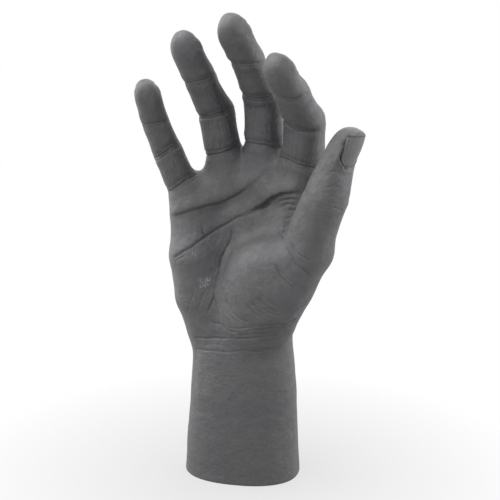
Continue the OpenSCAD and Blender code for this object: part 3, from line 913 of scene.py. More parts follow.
# Angle from a digit's palm side up to which the zone goes, in degrees, and where it starts on palm and wrist
ZONE_ANGLE = 108
ZONE_FACING = -0.25
ZONE_LOW = 72
# Heights at which rings are cut round the wrist end, and how far the points below a height are drawn in
RIM_CUTS = (0, 0.4, 1.1)
RIM_INSETS = ((0.5, 0.12), (0.1, 0.45))
# How far the skin's unevenness lies below the part's skin on average
SKIN_SINK = 0.2


def smooth_line(points, parts):
    """Rounded line through the points."""
    p = np.array(points, float)
    p = np.vstack([2 * p[0] - p[1], p, 2 * p[-1] - p[-2]])
    t = np.linspace(0, 1, parts, endpoint=False)[:, None]
    out = []
    for k in range(1, len(p) - 2):
        a, b, c, d = p[k - 1:k + 3]
        out.append(b + 0.5 * t * (c - a + t * (2 * a - 5 * b + 4 * c - d + t * (3 * b - a - 3 * c + d))))
    return np.vstack(out + [p[-2:-1]])


def laid_point(pixel, tree):
    """Point of the skin behind a pixel of the photograph, or None where the pixel misses the hand."""
    place, target = camera_axes()
    turn = (target - place).to_track_quat("-Z", "Y")
    half = PHOTO_SIDE / 2
    ray = turn @ Vector(((pixel[0] - half) / CAMERA_FOCAL, (half - pixel[1]) / CAMERA_FOCAL, -1))
    return tree.ray_cast(place, ray.normalized())[0]


def laid_line(pixels, tree):
    """Line of the photograph laid on the skin, in millimetres."""
    line = []
    for pixel in smooth_line(pixels, LINE_PARTS):
        hit = laid_point(pixel, tree)
        if hit is None:
            continue
        if line and (hit - line[-1]).length > LONGEST_STEP:
            continue
        line.append(hit)
    if len(line) < 3:
        raise RuntimeError(f"the line that starts at pixel {pixels[0]} misses the hand")
    return np.array(line)


def line_distance(points, line):
    """Distance to a bent line, share of its length there, and height above it."""
    start = line[:-1]
    step = line[1:] - start
    t = ((points[:, None] - start) * step).sum(2) / (step ** 2).sum(1)
    t = np.clip(t, 0, 1)
    away = points[:, None] - start - t[..., None] * step
    square = (away ** 2).sum(2)
    best = square.argmin(1)
    rows = np.arange(len(points))
    return np.sqrt(square[rows, best]), (best + t[rows, best]) / len(step), away[rows, best, 2]


def line_marks(points, row, line):
    """Height of one palm line and nearness to it."""
    height = np.zeros(len(points))
    near = np.full(len(points), FAR_AWAY)
    chosen = np.flatnonzero(inside(points, line.min(0), line.max(0), LINE_REACH))
    own = points[chosen]
    away, share, above = line_distance(own, line)
    taper = smooth_step(-0.01, row.fade, share) * smooth_step(1, row.last, share)
    signed = np.sign(above) * away + 0.4 * lattice_noise(own, 5, 11) + 0.22 * lattice_noise(own, 2, 12)
    depth = row.depth * (0.85 + 0.4 * lattice_noise(own, 8, 13))
    cut = depth * bell(signed, row.width) + row.hollow * bell(signed + 1.2, 4.2)
    fold = row.fold * smooth_step(0, 2.0, signed) * bell(np.maximum(signed - 2.0, 0), 5.0)
    height[chosen] = taper * (fold - cut)
    near[chosen] = np.abs(signed) + ENDED_AWAY * (1 - taper)
    return height, near


def digit_shares(points, fields, reach):
    """For each digit: name, indices of its own points within reach, and their places along and round it."""
    owner = np.where(fields.min(0) < reach, fields.argmin(0), -1)
    for k, name in enumerate(DIGITS):
        own = np.flatnonzero(owner == k)
        s, a, b, u = DIGITS[name].local(points[own])
        yield name, own, s + u, a, b


def skin_marks(points, lines):
    """Height to add to the smooth skin, and nearness to the lines cut in it."""
    height = 0.28 * lattice_noise(points, 13, 1) + 0.15 * lattice_noise(points, 6, 2)
    near = np.full(len(points), FAR_AWAY)
    fields = digit_fields(points)
    first, second = np.partition(fields, 1, axis=0)[:2]
    weight = smooth_step(MARK_REACH, MARK_REACH / 2, first) * smooth_step(0, 1.5, second - first)
    for name, own, along, a, b in digit_shares(points, fields, MARK_REACH):
        marks, away = digit_marks(name, along, a, b)
        height[own] += marks * weight[own]
        near[own] = away + ENDED_AWAY * (1 - weight[own])
    for row, line in zip(PALM_LINES, lines):
        marks, away = line_marks(points, row, line)
        height += marks
        if row.depth > 0:
            near = np.minimum(near, away)
    return height, near


def read_points(shape):
    """Places and normals of the mesh's points."""
    shape.normal_update()
    points = np.array([v.co for v in shape.verts])
    normals = np.array([v.normal for v in shape.verts])
    return points, normals


def write_points(shape, points):
    """Moves the mesh's points."""
    for vert, place in zip(shape.verts, points.tolist()):
        vert.co = place


def settle(shape, rounds):
    """Moves the points on to the smooth skin, keeping the cut end flat."""
    points, normals = read_points(shape)
    for _ in range(rounds):
        points = points - normals * (SETTLE_SHARE * skin_field(points))[:, None]
    points[:, 2] = np.where(np.abs([v.co.z for v in shape.verts]) < 1e-3, 0, points[:, 2])
    write_points(shape, points)


def refine(shape, chosen):
    """Splits the faces that touch the chosen points."""
    edges = {edge for face in shape.faces if any(chosen[v.index] for v in face.verts) for edge in face.edges}
    bmesh.ops.subdivide_edges(shape, edges=list(edges), cuts=1, use_grid_fill=True)
    shape.verts.index_update()
    shape.verts.ensure_lookup_table()


def detail_zone(points, normals):
    """Points of the skin that carry creases: digits, and the palm side from the wrist up."""
    zone = (normals[:, 1] < ZONE_FACING) & (points[:, 2] > ZONE_LOW)
    for name, own, along, a, b in digit_shares(points, digit_fields(points), ZONE_REACH):
        _, knuckle, end_knuckle, tip = DIGITS[name].ends
        wrinkled = (np.abs(along - knuckle) < KNUCKLE_ZONE) | (np.abs(along - end_knuckle) < END_KNUCKLE_ZONE)
        palm_side = np.abs(np.arctan2(a, b)) < np.radians(ZONE_ANGLE)
        zone[own] |= palm_side | wrinkled | (along > tip - NAIL_ZONE)
    return zone


def cut_end(shape):
    """Cuts the wrist end flat at the floor, and cuts rings above it for its rim."""
    for height in RIM_CUTS:
        parts = shape.verts[:] + shape.edges[:] + shape.faces[:]
        plane = {"plane_co": (0, 0, height), "plane_no": (0, 0, 1)}
        bmesh.ops.bisect_plane(shape, geom=parts, clear_inner=height == 0, **plane)
    shape.verts.index_update()
    shape.verts.ensure_lookup_table()


def close_end(shape):
    """Draws the rim in a little and closes the wrist end with one face."""
    points, normals = read_points(shape)
    inset = np.zeros(len(points))
    for height, drawn_in in RIM_INSETS:
        inset[points[:, 2] < height] = drawn_in
    write_points(shape, points - normals * (1, 1, 0) * inset[:, None])
    rim = [edge for edge in shape.edges if edge.is_boundary]
    bmesh.ops.edgeloop_fill(shape, edges=rim)


def cast_skin(step, share):
    """Outer skin with its creases as a closed mesh in millimetres, and its laid lines and spots."""
    points, quads = hand_surface(step)
    mesh = bpy.data.meshes.new("hand")
    mesh.from_pydata(points.tolist(), [], quads.tolist())
    shape = bmesh.new()
    shape.from_mesh(mesh)
    cut_end(shape)
    settle(shape, 2)
    refine(shape, detail_zone(*read_points(shape)))
    settle(shape, 2)
    tree = BVHTree.FromBMesh(shape)
    lines = [laid_line(row.pixels, tree) for row in PALM_LINES]
    spots = [[(laid_point(pixel, tree), radius) for pixel, radius in rows] for rows in (SCUFFS, STAINS)]
    refine(shape, skin_marks(read_points(shape)[0], lines)[1] < REFINE_NEAR)
    settle(shape, 2)
    points, normals = read_points(shape)
    height = (skin_marks(points, lines)[0] * share - SKIN_SINK) * smooth_step(*MARKS_RISE, points[:, 2])
    write_points(shape, points + normals * height[:, None])
    close_end(shape)
    bmesh.ops.recalc_face_normals(shape, faces=shape.faces)
    shape.to_mesh(mesh)
    shape.free()
    return mesh, lines, spots


# Mouth of the shell, which is cut from below the floor, and the gap round the foam, as in the part's source
MOUTH_WIDTH = 51.0
MOUTH_DEPTH = 33.0
MOUTH_TOP = 84.6
MOUTH_BOTTOM = -2.0
FOAM_GAP = 0.25
# Nail plates: thickness, and how far root and sides reach into the skin, as shares of length and half width
NAIL_THICKNESS = 2.6
NAIL_UNDER = 0.14
NAIL_BESIDE = 0.06
# Points along and across a plate, its arch along the digit, dip of its root, and draw of its foot
NAIL_POINTS = (29, 25)
NAIL_ARCH = 2.2
NAIL_DIP = 1.2
NAIL_FOOT = 1.2
# Radius of a plate across the digit and width of its foot, as shares of its width
NAIL_RADIUS = 1.05
FOOT_WIDTH = 0.8


def closed_sheet(top, bottom):
    """Points and faces of a closed plate between two equal blocks of points."""
    rows, columns = top.shape[:2]
    index = np.arange(rows * columns).reshape(rows, columns)
    quads = np.stack([index[:-1, :-1], index[1:, :-1], index[1:, 1:], index[:-1, 1:]], -1).reshape(-1, 4)
    rim = np.concatenate([index[0, :-1], index[:-1, -1], index[-1, :0:-1], index[:0:-1, 0]])
    after = np.roll(rim, -1)
    walls = np.stack([rim, after, after + index.size, rim + index.size], -1)
    points = np.concatenate([top.reshape(-1, 3), bottom.reshape(-1, 3)])
    return points, np.concatenate([quads, quads[:, ::-1] + index.size, walls]).tolist()


def nail_plate(name):
    """Closed plate of one nail: its root dips under the fold and its free edge stands off the tip."""
    digit = DIGITS[name]
    nail = NAILS[name]
    edge_at = digit.ends[-1] - nail.short
    side_share = 1 + NAIL_BESIDE
    lengthwise = np.linspace(-NAIL_UNDER, 1, NAIL_POINTS[0])
    crosswise = np.linspace(-side_share, side_share, NAIL_POINTS[1])
    v, w = np.meshgrid(lengthwise, crosswise, indexing="ij")
    seen = np.clip(v, 0, 1)
    across = nail_half_width(name, v) * w
    along = edge_at - nail.length * (1 - v) - nail.roundness * w ** 2 * seen ** 4
    root = digit.back_height(edge_at - nail.length) + 0.5 - 0.5 * nail.groove
    edge = digit.back_height(edge_at) + nail.lift
    height = root + (edge - root) * v + NAIL_ARCH * seen * (1 - v)
    height -= NAIL_DIP * smooth_step(0.06, -NAIL_UNDER, v)
    radius = NAIL_RADIUS * nail.width
    height -= radius - np.sqrt(radius ** 2 - across ** 2)
    tangent, side, palm = (digit.at_cap(rows) for rows in (digit.tangent, digit.side, digit.palm))
    middle = digit.at_cap(digit.line) + (along - digit.cap_at)[..., None] * tangent
    top = middle + across[..., None] * side - height[..., None] * palm
    under = middle + FOOT_WIDTH * across[..., None] * side - (height - NAIL_THICKNESS)[..., None] * palm
    under = under - (NAIL_FOOT * seen ** 4)[..., None] * tangent
    return closed_sheet(top, under)


def closed_mesh(name, points, faces, material):
    """Mesh in millimetres with its faces turned outward."""
    mesh = bpy.data.meshes.new(name)
    mesh.from_pydata(points.tolist(), [], faces)
    shape = bmesh.new()
    shape.from_mesh(mesh)
    bmesh.ops.recalc_face_normals(shape, faces=shape.faces)
    shape.to_mesh(mesh)
    shape.free()
    mesh.materials.append(material)
    return mesh


def mouth_prism(material):
    """Space of the mouth: an upright prism with round ends."""
    turn = np.radians(np.linspace(-90, 90, 33))
    half = (MOUTH_WIDTH - MOUTH_DEPTH) / 2
    arc = np.stack([half + MOUTH_DEPTH / 2 * np.cos(turn), MOUTH_DEPTH / 2 * np.sin(turn)], 1)
    ring = np.concatenate([arc, -arc])
    count = len(ring)
    points = np.concatenate([np.column_stack([ring, np.full(count, z)]) for z in (MOUTH_BOTTOM, MOUTH_TOP)])
    walls = [[k, (k + 1) % count, (k + 1) % count + count, k + count] for k in range(count)]
    ends = [list(range(count)), list(range(count, 2 * count))]
    return closed_mesh("mouth", points, walls + ends, material)


def foam_space(material):
    """Space of the foam core, a little larger than the core itself."""
    shape = bmesh.new()
    shape.from_mesh(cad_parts["foam_core"].data)
    bmesh.ops.scale(shape, vec=(1 / MM, 1 / MM, 1 / MM), verts=shape.verts)
    bmesh.ops.remove_doubles(shape, verts=shape.verts, dist=0.001)
    bmesh.ops.recalc_face_normals(shape, faces=shape.faces)
    points, normals = read_points(shape)
    write_points(shape, points + normals * FOAM_GAP)
    mesh = bpy.data.meshes.new("foam space")
    shape.to_mesh(mesh)
    shape.free()
    mesh.materials.clear()
    mesh.materials.append(material)
    return mesh


def joined(mesh, other, operation):
    """Mesh that results when another is joined to it or cut from it."""
    objects = []
    for name, data in (("body", mesh), ("tool", other)):
        obj = bpy.data.objects.new(name, data)
        bpy.context.scene.collection.objects.link(obj)
        objects.append(obj)
    body, tool = objects
    step = body.modifiers.new("join", "BOOLEAN")
    step.object = tool
    step.operation = operation
    step.solver = "MANIFOLD"
    step.material_mode = "TRANSFER"
    depsgraph = bpy.context.evaluated_depsgraph_get()
    result = bpy.data.meshes.new_from_object(body.evaluated_get(depsgraph))
    for obj in objects:
        bpy.data.objects.remove(obj)
    if len(result.polygons) == 0:
        raise RuntimeError("the two meshes could not be joined")
    return result


def mark_edges(mesh):
    """Keeps the line between skin, nails, hollow and wrist end sharp, and shades the rest smooth."""
    mesh.shade_smooth()
    shape = bmesh.new()
    shape.from_mesh(mesh)
    for edge in shape.edges:
        kinds = {face.material_index for face in edge.link_faces}
        flats = {face.normal.z < -0.99 for face in edge.link_faces}
        edge.smooth = len(kinds) == 1 and len(flats) == 1
    shape.to_mesh(mesh)
    shape.free()


def add_values(mesh, name, values):
    """Stores one number for each point of the mesh."""
    mesh.attributes.new(name, "FLOAT", "POINT").data.foreach_set("value", values.astype(np.float32))


# Depths between which painted shade darkens a crease, and shares of the nail's length between which that
# painted shade fades out again
CREASE_DARK = (0.25, 1.1)
NAIL_PALE = (0.84, 0.94)
# How far round a digit its fine lines go
LINED_REACH = 3
# How strongly fine lines show on the thumb's ball, on the forearm and on the thumb; on the fingers it is 1
BALL_LINED = 0.32
ARM_LINED = 0.16
THUMB_LINED = 0.3
# Place along the thumb where its fine lines start
THUMB_LINED_FROM = 45
# Between which angles from the palm side the fine lines of the digits fade out, in degrees
LINED_FADE = (52, 92)


def fine_lines(points, shares):
    """Fine lines of the skin: places across and along them, and how strongly they show in relief and in
    painted shade.
    """
    # Those of the thumb's ball run in arcs round the thumb's knuckle
    from_knuckle = points - DIGITS["thumb"].joints[1]
    across = np.linalg.norm(from_knuckle, axis=1)
    along = 60 * np.arctan2(from_knuckle[:, 0], -from_knuckle[:, 2])
    on_ball = smooth_step(16, 26, across) * smooth_step(62, 48, across) * smooth_step(0, -8, points[:, 1])
    # Those of the forearm run round it
    on_arm = smooth_step(84, 76, points[:, 2])
    arm = points[:, 2] < 80
    across[arm] = points[arm, 2]
    along[arm] = 30 * np.arctan2(points[arm, 0], -points[arm, 1])
    lined = np.maximum(BALL_LINED * on_ball * (1 - on_arm), ARM_LINED * on_arm)
    # Those of a digit run along it, from its first crease to its end joint
    for k, (name, own, s, a, b) in enumerate(shares):
        digit = DIGITS[name]
        angle = np.arctan2(a, b)
        across[own] = angle * digit.half_w.mean() + 50 * k
        along[own] = s
        first = THUMB_LINED_FROM if name == "thumb" else FINGER_CREASES[name]["base"][0]
        strength = smooth_step(digit.ends[2] + 6, digit.ends[2] - 1, s) * smooth_step(first - 1, first + 2, s)
        strength *= 1 - 0.5 * smooth_step(digit.ends[1] - 2, digit.ends[1] + 2, s)
        strength *= 1 - smooth_step(*np.radians(LINED_FADE), np.abs(angle))
        lined[own] = strength * (THUMB_LINED if name == "thumb" else 1)
    return across, along, lined * np.clip(0.7 + 0.9 * lattice_noise(points, 7, 21), 0, 1.2)


def store_skin_values(mesh, lines, spots):
    """Stores what the material needs: scuffs, stains, painted shade in the creases, and where and which way
    fine lines run.
    """
    points = np.empty(3 * len(mesh.vertices), np.float32)
    mesh.vertices.foreach_get("co", points)
    points = points.reshape(-1, 3).astype(float)
    for name, rows in zip(("scuff", "stain"), spots):
        marks = [bell(np.linalg.norm(points - at, axis=1), size) for at, size in rows]
        add_values(mesh, name, np.sum(marks, axis=0))
    shares = list(digit_shares(points, digit_fields(points), LINED_REACH))
    # Painted shade in the creases: the deeper the mark, the darker the colour; it fades out towards the
    # nail's free edge
    crease = smooth_step(*CREASE_DARK, -skin_marks(points, lines)[0])
    for name, own, s, _, _ in shares:
        crease[own] *= 1 - 0.85 * smooth_step(*NAIL_PALE, nail_share(name, s))
    add_values(mesh, "crease", crease)
    for name, values in zip(("across", "along", "lined"), fine_lines(points, shares)):
        add_values(mesh, name, values)


def set_inputs(tree, target, values):
    """Sets inputs of a shader node; a value that is a socket is linked."""
    for name, value in values.items():
        if isinstance(value, bpy.types.NodeSocket):
            tree.links.new(value, target.inputs[name])
        else:
            target.inputs[name].default_value = value


def node(tree, kind, values=None, **settings):
    """Adds a shader node with its settings and inputs."""
    new = tree.nodes.new("ShaderNode" + kind)
    for name, value in settings.items():
        setattr(new, name, value)
    set_inputs(tree, new, values or {})
    return new


def new_material(name):
    """Empty material: itself, its node tree, its shader and the place on the object."""
    material = bpy.data.materials.new(name)
    material.use_nodes = True
    tree = material.node_tree
    return material, tree, tree.nodes["Principled BSDF"], node(tree, "TexCoord").outputs["Object"]


def noise(tree, place, scale, detail=2.0, rough=0.5):
    """Noise value between 0 and 1; the scale is in lumps per unit of the place."""
    values = {"Vector": place, "Scale": scale, "Detail": detail, "Roughness": rough}
    return node(tree, "TexNoise", values).outputs["Fac"]


def ranged(tree, value, low, high, to_low, to_high):
    """Value moved from one range to another."""
    names = ("Value", "From Min", "From Max", "To Min", "To Max")
    return node(tree, "MapRange", dict(zip(names, (value, low, high, to_low, to_high)))).outputs[0]


def maths(tree, operation, one, two):
    """Number worked out from two others."""
    return node(tree, "Math", {0: one, 1: two}, operation=operation).outputs[0]


def scaled(tree, vector, factor):
    """Colour or place times a factor, or times a factor for each of its three numbers."""
    return node(tree, "VectorMath", {0: vector, 1: factor}, operation="MULTIPLY").outputs[0]


def toned(colour, share):
    """Colour times a share, or times a share for each channel."""
    return tuple(np.multiply(tuple(colour), share).tolist())


def blend(tree, share, one, two):
    """Colour between two others."""
    mix = node(tree, "Mix", {0: share}, data_type="RGBA")
    for k, colour in ((6, one), (7, two)):
        linked = isinstance(colour, bpy.types.NodeSocket)
        set_inputs(tree, mix, {k: colour if linked else (*colour, 1)})
    return mix.outputs[2]


def bump(tree, height, distance, strength, normal=None):
    """Normal of a surface with fine relief."""
    values = {"Height": height, "Distance": distance, "Strength": strength}
    if normal is not None:
        values["Normal"] = normal
    return node(tree, "Bump", values).outputs[0]


def attribute(tree, name):
    """Number stored on the mesh."""
    return node(tree, "Attribute", attribute_name=name).outputs["Fac"]


def skin_material(settings, name, tone, relief, crease_shade):
    """Matte grey casting with faint mottling, painted shade that darkens its creases, fine lines and lower
    forearm, and fine skin relief.
    """
    material, tree, shader, place = new_material(name)
    grey = toned(settings.colour, tone)
    patches = ranged(tree, noise(tree, place, 34, 3), 0.36, 0.64, 0, 1)
    colour = blend(tree, patches, toned(grey, (0.90, 0.91, 0.96)), toned(grey, (1.10, 1.07, 1.03)))
    mottling = ranged(tree, noise(tree, place, 170, 4, 0.65), 0.32, 0.68, 0.86, 1.14)
    colour = scaled(tree, colour, mottling)
    stained = ranged(tree, attribute(tree, "stain"), 0, 1, 0, 0.8)
    colour = blend(tree, stained, colour, toned(grey, (0.78, 0.79, 0.88)))
    grains = ranged(tree, noise(tree, place, 1000, 3, 0.7), 0.46, 0.62, 0, 1)
    rubbed = maths(tree, "MULTIPLY", attribute(tree, "scuff"), grains)
    colour = blend(tree, ranged(tree, rubbed, 0.05, 0.5, 0, 1), colour, toned(grey, 3.4))
    places = {"X": attribute(tree, "across"), "Y": attribute(tree, "along")}
    flow = node(tree, "CombineXYZ", places).outputs[0]
    streaks = noise(tree, scaled(tree, flow, (1.0, 0.11, 1.0)), 0.85, 2, 0.6)
    lined = attribute(tree, "lined")
    # Painted shade in the grooves of the fine lines: the colour is darkened where the skin is lined
    painted_groove_shade = maths(tree, "MULTIPLY", lined, ranged(tree, streaks, 0.36, 0.56, 0.36, 0))
    colour = scaled(tree, colour, ranged(tree, painted_groove_shade, 0, 1, 1, 0))
    # Painted shade: the colour darkens towards the bottom, from full at 115 mm to 0.8 at 75 mm and below
    height = node(tree, "SeparateXYZ", {"Vector": place}).outputs["Z"]
    colour = scaled(tree, colour, ranged(tree, height, 0.075, 0.115, 0.8, 1))
    speckle = ranged(tree, noise(tree, place, 700, 3), 0.25, 0.75, 0.9, 1.1)
    # Painted shade in the creases, by the stored crease value
    dark = ranged(tree, attribute(tree, "crease"), 0, 1, 1, 1 - crease_shade)
    normal = bump(tree, streaks, 0.0009, maths(tree, "MULTIPLY", lined, 0.85 * relief))
    values = {"Vector": place, "Scale": 1000}
    cells = node(tree, "TexVoronoi", values, feature="DISTANCE_TO_EDGE").outputs["Distance"]
    normal = bump(tree, ranged(tree, cells, 0, 0.2, 0, 1), 0.0001, 0.25 * relief, normal)
    normal = bump(tree, noise(tree, place, 260, 4, 0.6), 0.001, 0.7 * relief, normal)
    pores = noise(tree, place, 1500, 2, 0.6)
    rough = settings.roughness
    set_inputs(tree, shader, {
        "Base Color": scaled(tree, colour, maths(tree, "MULTIPLY", speckle, dark)),
        "Roughness": ranged(tree, noise(tree, place, 160), 0.3, 0.7, rough - 0.06, rough + 0.06),
        "Specular IOR Level": 0.9,
        "Normal": bump(tree, pores, 0.0003, 0.5 * relief, normal),
    })
    return material


def raw_material(settings):
    """Inside of the casting: paler, rough and uneven."""
    material, tree, shader, place = new_material("raw casting")
    set_inputs(tree, shader, {
        "Base Color": blend(tree, noise(tree, place, 90, 4), settings.colour, toned(settings.colour, 1.35)),
        "Roughness": 0.85,
        "Normal": bump(tree, noise(tree, place, 500, 4), 0.0005, 0.4),
    })
    return material


class DISPLAY_HAND_OT_skin(bpy.types.Operator):
    """Cast skin of the hand with its creases, nails and hollow."""

    bl_idname = "display_hand.skin"
    bl_label = "Cast skin"

    def execute(self, context):
        settings = context.scene.display_hand_skin
        skin = skin_material(settings, "cast skin", tone=1.0, relief=1.0, crease_shade=settings.crease_shade)
        # Nails: the same casting, painted 1.22 times lighter as painted light on them, and without the
        # painted crease shade
        nail = skin_material(settings, "cast nail", tone=1.22, relief=0.25, crease_shade=0.0)
        raw = raw_material(settings)
        mesh, lines, spots = cast_skin(settings.cell / MM, settings.crease_share)
        mesh.materials.append(skin)
        for name in NAILS:
            points, faces = nail_plate(name)
            mesh = joined(mesh, closed_mesh("nail", points, faces, nail), "UNION")
        mesh = joined(mesh, mouth_prism(raw), "DIFFERENCE")
        mesh = joined(mesh, foam_space(raw), "DIFFERENCE")
        mark_edges(mesh)
        store_skin_values(mesh, lines, spots)
        mesh.transform(Matrix.Scale(MM, 4))
        mesh.name = "hand"
        hand = bpy.data.objects.new("hand", mesh)
        context.scene.collection.objects.link(hand)
        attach(hand, "root")
        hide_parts("hand_shell")
        return {"FINISHED"}


def foam_material(settings):
    """Rigid foam: pale, with small closed cells."""
    material, tree, shader, place = new_material("rigid foam")
    cells = node(tree, "TexVoronoi", {"Vector": place, "Scale": 900}).outputs["Distance"]
    colour = blend(tree, ranged(tree, cells, 0, 0.7, 0, 1), toned(settings.foam, 0.72), settings.foam)
    mottling = ranged(tree, noise(tree, place, 45, 3), 0.3, 0.7, 0.9, 1.08)
    set_inputs(tree, shader, {
        "Base Color": scaled(tree, colour, mottling),
        "Roughness": 0.9,
        "Normal": bump(tree, cells, 0.0006, 0.6),
    })
    return material


# Plies of the plywood in metres: thickness, and half the width of the line where two of them meet
PLY_THICKNESS = 0.003
PLY_LINE = 0.00025


def plywood_material(settings):
    """Birch plywood: thin plies of light and dark, with grain along each."""
    material, tree, shader, place = new_material("birch plywood")
    height = node(tree, "SeparateXYZ", {"Vector": place}).outputs["Z"]
    half = PLY_THICKNESS / 2
    ply = maths(tree, "PINGPONG", height, PLY_THICKNESS)
    dark = ranged(tree, ply, half - PLY_LINE, half + PLY_LINE, 0, 1)
    grain = noise(tree, scaled(tree, place, (1, 9, 14)), 60, 4, 0.6)
    colour = blend(tree, dark, settings.wood, toned(settings.wood, 0.68))
    set_inputs(tree, shader, {
        "Base Color": scaled(tree, colour, ranged(tree, grain, 0.25, 0.75, 0.8, 1.1)),
        "Roughness": 0.7,
        "Normal": bump(tree, grain, 0.0003, 0.4),
    })
    return material


def metal_material(name, colour, roughness, stretch):
    """Bare metal with fine marks; the stretch sets which way they run."""
    material, tree, shader, place = new_material(name)
    marks = noise(tree, scaled(tree, place, stretch), 220, 4, 0.65)
    set_inputs(tree, shader, {
        "Base Color": blend(tree, marks, toned(colour, 0.82), colour),
        "Metallic": 1,
        "Roughness": ranged(tree, marks, 0.2, 0.8, roughness - 0.08, roughness + 0.1),
        "Normal": bump(tree, marks, 0.00008, 0.3),
    })
    return material


def plate_material(settings):
    """Black moulded plastic with a fine spark texture."""
    material, tree, shader, place = new_material("black plate")
    set_inputs(tree, shader, {
        "Base Color": blend(tree, noise(tree, place, 120, 3), settings.plate, toned(settings.plate, 1.5)),
        "Roughness": ranged(tree, noise(tree, place, 60), 0.3, 0.7, 0.5, 0.66),
        "Normal": bump(tree, noise(tree, place, 2600, 2), 0.0002, 0.5),
    })
    return material


class DISPLAY_HAND_OT_fittings(bpy.types.Operator):
    """Finishes of the pieces inside the wrist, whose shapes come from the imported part."""

    bl_idname = "display_hand.fittings"
    bl_label = "Fittings"

    def execute(self, context):
        settings = context.scene.display_hand_fittings
        zinc = metal_material("zinc plate", settings.zinc, 0.38, (1, 1, 6))
        finishes = {
            "foam_core": foam_material(settings),
            "wrist_block": plywood_material(settings),
            "steel_weight": metal_material("sawn steel", settings.steel, 0.45, (1, 12, 1)),
            "weight_screws": zinc,
            "stand_insert": metal_material("turned brass", settings.brass, 0.3, (1, 1, 14)),
            "base_plate": plate_material(settings),
            "plate_screws": zinc,
        }
        for name, material in finishes.items():
            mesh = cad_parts[name].data
            mesh.materials.clear()
            mesh.materials.append(material)
        return {"FINISHED"}


# Camera that took the photograph, worked out from the outline of the wrist end and the finger creases
CAMERA_AZIMUTH = 21.0
CAMERA_DISTANCE = 564.0
CAMERA_HEIGHT = 253.0
CAMERA_FOCAL = 1011.0
PHOTO_SIDE = 500
LOOK_HEIGHT = 133.0
LOOK_RIGHT = 4.4

# Soft lamps, which suit the photograph's light and shade: name, place in metres and watts
LAMPS = (
    ("Top lamp", (0.0, -0.10, 0.95), 2.6),
    ("Top front lamp", (0.0, -0.55, 0.80), 1.1),
    ("Top left lamp", (-0.60, -0.10, 0.75), 3.5),
    ("High left lamp", (-0.45, -0.60, 0.60), 2.5),
    ("Left lamp", (-0.80, 0.0, 0.25), 2.4),
    ("Right lamp", (0.80, 0.0, 0.25), 2.1),
    ("Right back lamp", (0.60, 0.55, 0.30), 2.1),
    ("Back lamp", (0.0, 0.60, 0.75), 2.8),
)
LAMP_SIDE = 0.6
# Floor in metres: radius, and distances between which it runs out into the white surround
FLOOR_RADIUS = 4
FLOOR_FADE = (0.03, 0.18)
# Share of white that the floor shows at the hand
FLOOR_WHITE = 0.72


def camera_axes():
    """Camera's place and target in millimetres."""
    azimuth = math.radians(CAMERA_AZIMUTH)
    right = Vector((math.cos(azimuth), math.sin(azimuth), 0))
    back = Vector((math.sin(azimuth), -math.cos(azimuth), 0))
    target = Vector((0, 0, LOOK_HEIGHT)) + right * LOOK_RIGHT
    place = target + back * CAMERA_DISTANCE + Vector((0, 0, CAMERA_HEIGHT - LOOK_HEIGHT))
    return place, target


def add_camera(scene):
    """Camera at the photograph's angle."""
    place, target = camera_axes()
    data = bpy.data.cameras.new("Photo camera")
    data.sensor_width = 36
    data.lens = data.sensor_width * CAMERA_FOCAL / PHOTO_SIDE
    camera = bpy.data.objects.new("Photo camera", data)
    scene.collection.objects.link(camera)
    camera.location = place * MM
    camera.rotation_mode = "QUATERNION"
    camera.rotation_quaternion = (target - place).to_track_quat("-Z", "Y")
    scene.camera = camera


def add_lamp(scene, name, place, power):
    """Soft box that faces the middle of the hand."""
    data = bpy.data.lights.new(name, "AREA")
    data.shape = "RECTANGLE"
    data.size = data.size_y = LAMP_SIDE
    data.energy = power
    lamp = bpy.data.objects.new(name, data)
    scene.collection.objects.link(lamp)
    lamp.location = place
    middle = Vector((0, 0, LOOK_HEIGHT * MM))
    lamp.rotation_mode = "QUATERNION"
    lamp.rotation_quaternion = (middle - Vector(place)).to_track_quat("-Z", "Y")


def seen_rays(tree):
    """Number that is 1 for the rays that show the background: from the camera, in gloss and through glass."""
    rays = node(tree, "LightPath").outputs
    first = maths(tree, "MAXIMUM", rays["Is Camera Ray"], rays["Is Glossy Ray"])
    return maths(tree, "MAXIMUM", first, rays["Is Transmission Ray"])


def make_surround(scene, strength):
    """White surround, which lights the hand by the given strength only."""
    world = bpy.data.worlds.new("Studio")
    scene.world = world
    world.use_nodes = True
    tree = world.node_tree
    light = tree.nodes["Background"]
    set_inputs(tree, light, {"Color": (1, 1, 1, 1), "Strength": strength})
    white = node(tree, "Background", {"Color": (1, 1, 1, 1), "Strength": 1.0})
    mix = node(tree, "MixShader", {0: seen_rays(tree), 1: light.outputs[0], 2: white.outputs[0]})
    tree.links.new(mix.outputs[0], tree.nodes["World Output"].inputs["Surface"])


def make_floor(scene, shade):
    """Pale floor that keeps the shadow and runs out into the white surround."""
    material, tree, shader, place = new_material("Floor")
    grey = (shade, shade, shade, 1)
    set_inputs(tree, shader, {"Base Color": grey, "Roughness": 0.9, "Specular IOR Level": 0})
    white = node(tree, "Emission", {"Strength": 1.0})
    away = node(tree, "VectorMath", {0: place}, operation="LENGTH").outputs["Value"]
    fade = ranged(tree, away, *FLOOR_FADE, FLOOR_WHITE, 1)
    seen = maths(tree, "MULTIPLY", fade, seen_rays(tree))
    mix = node(tree, "MixShader", {0: seen, 1: shader.outputs[0], 2: white.outputs[0]})
    tree.links.new(mix.outputs[0], tree.nodes["Material Output"].inputs["Surface"])
    mesh = bpy.data.meshes.new("floor")
    shape = bmesh.new()
    bmesh.ops.create_circle(shape, cap_ends=True, segments=96, radius=FLOOR_RADIUS)
    shape.to_mesh(mesh)
    shape.free()
    mesh.materials.append(material)
    floor = bpy.data.objects.new("floor", mesh)
    scene.collection.objects.link(floor)


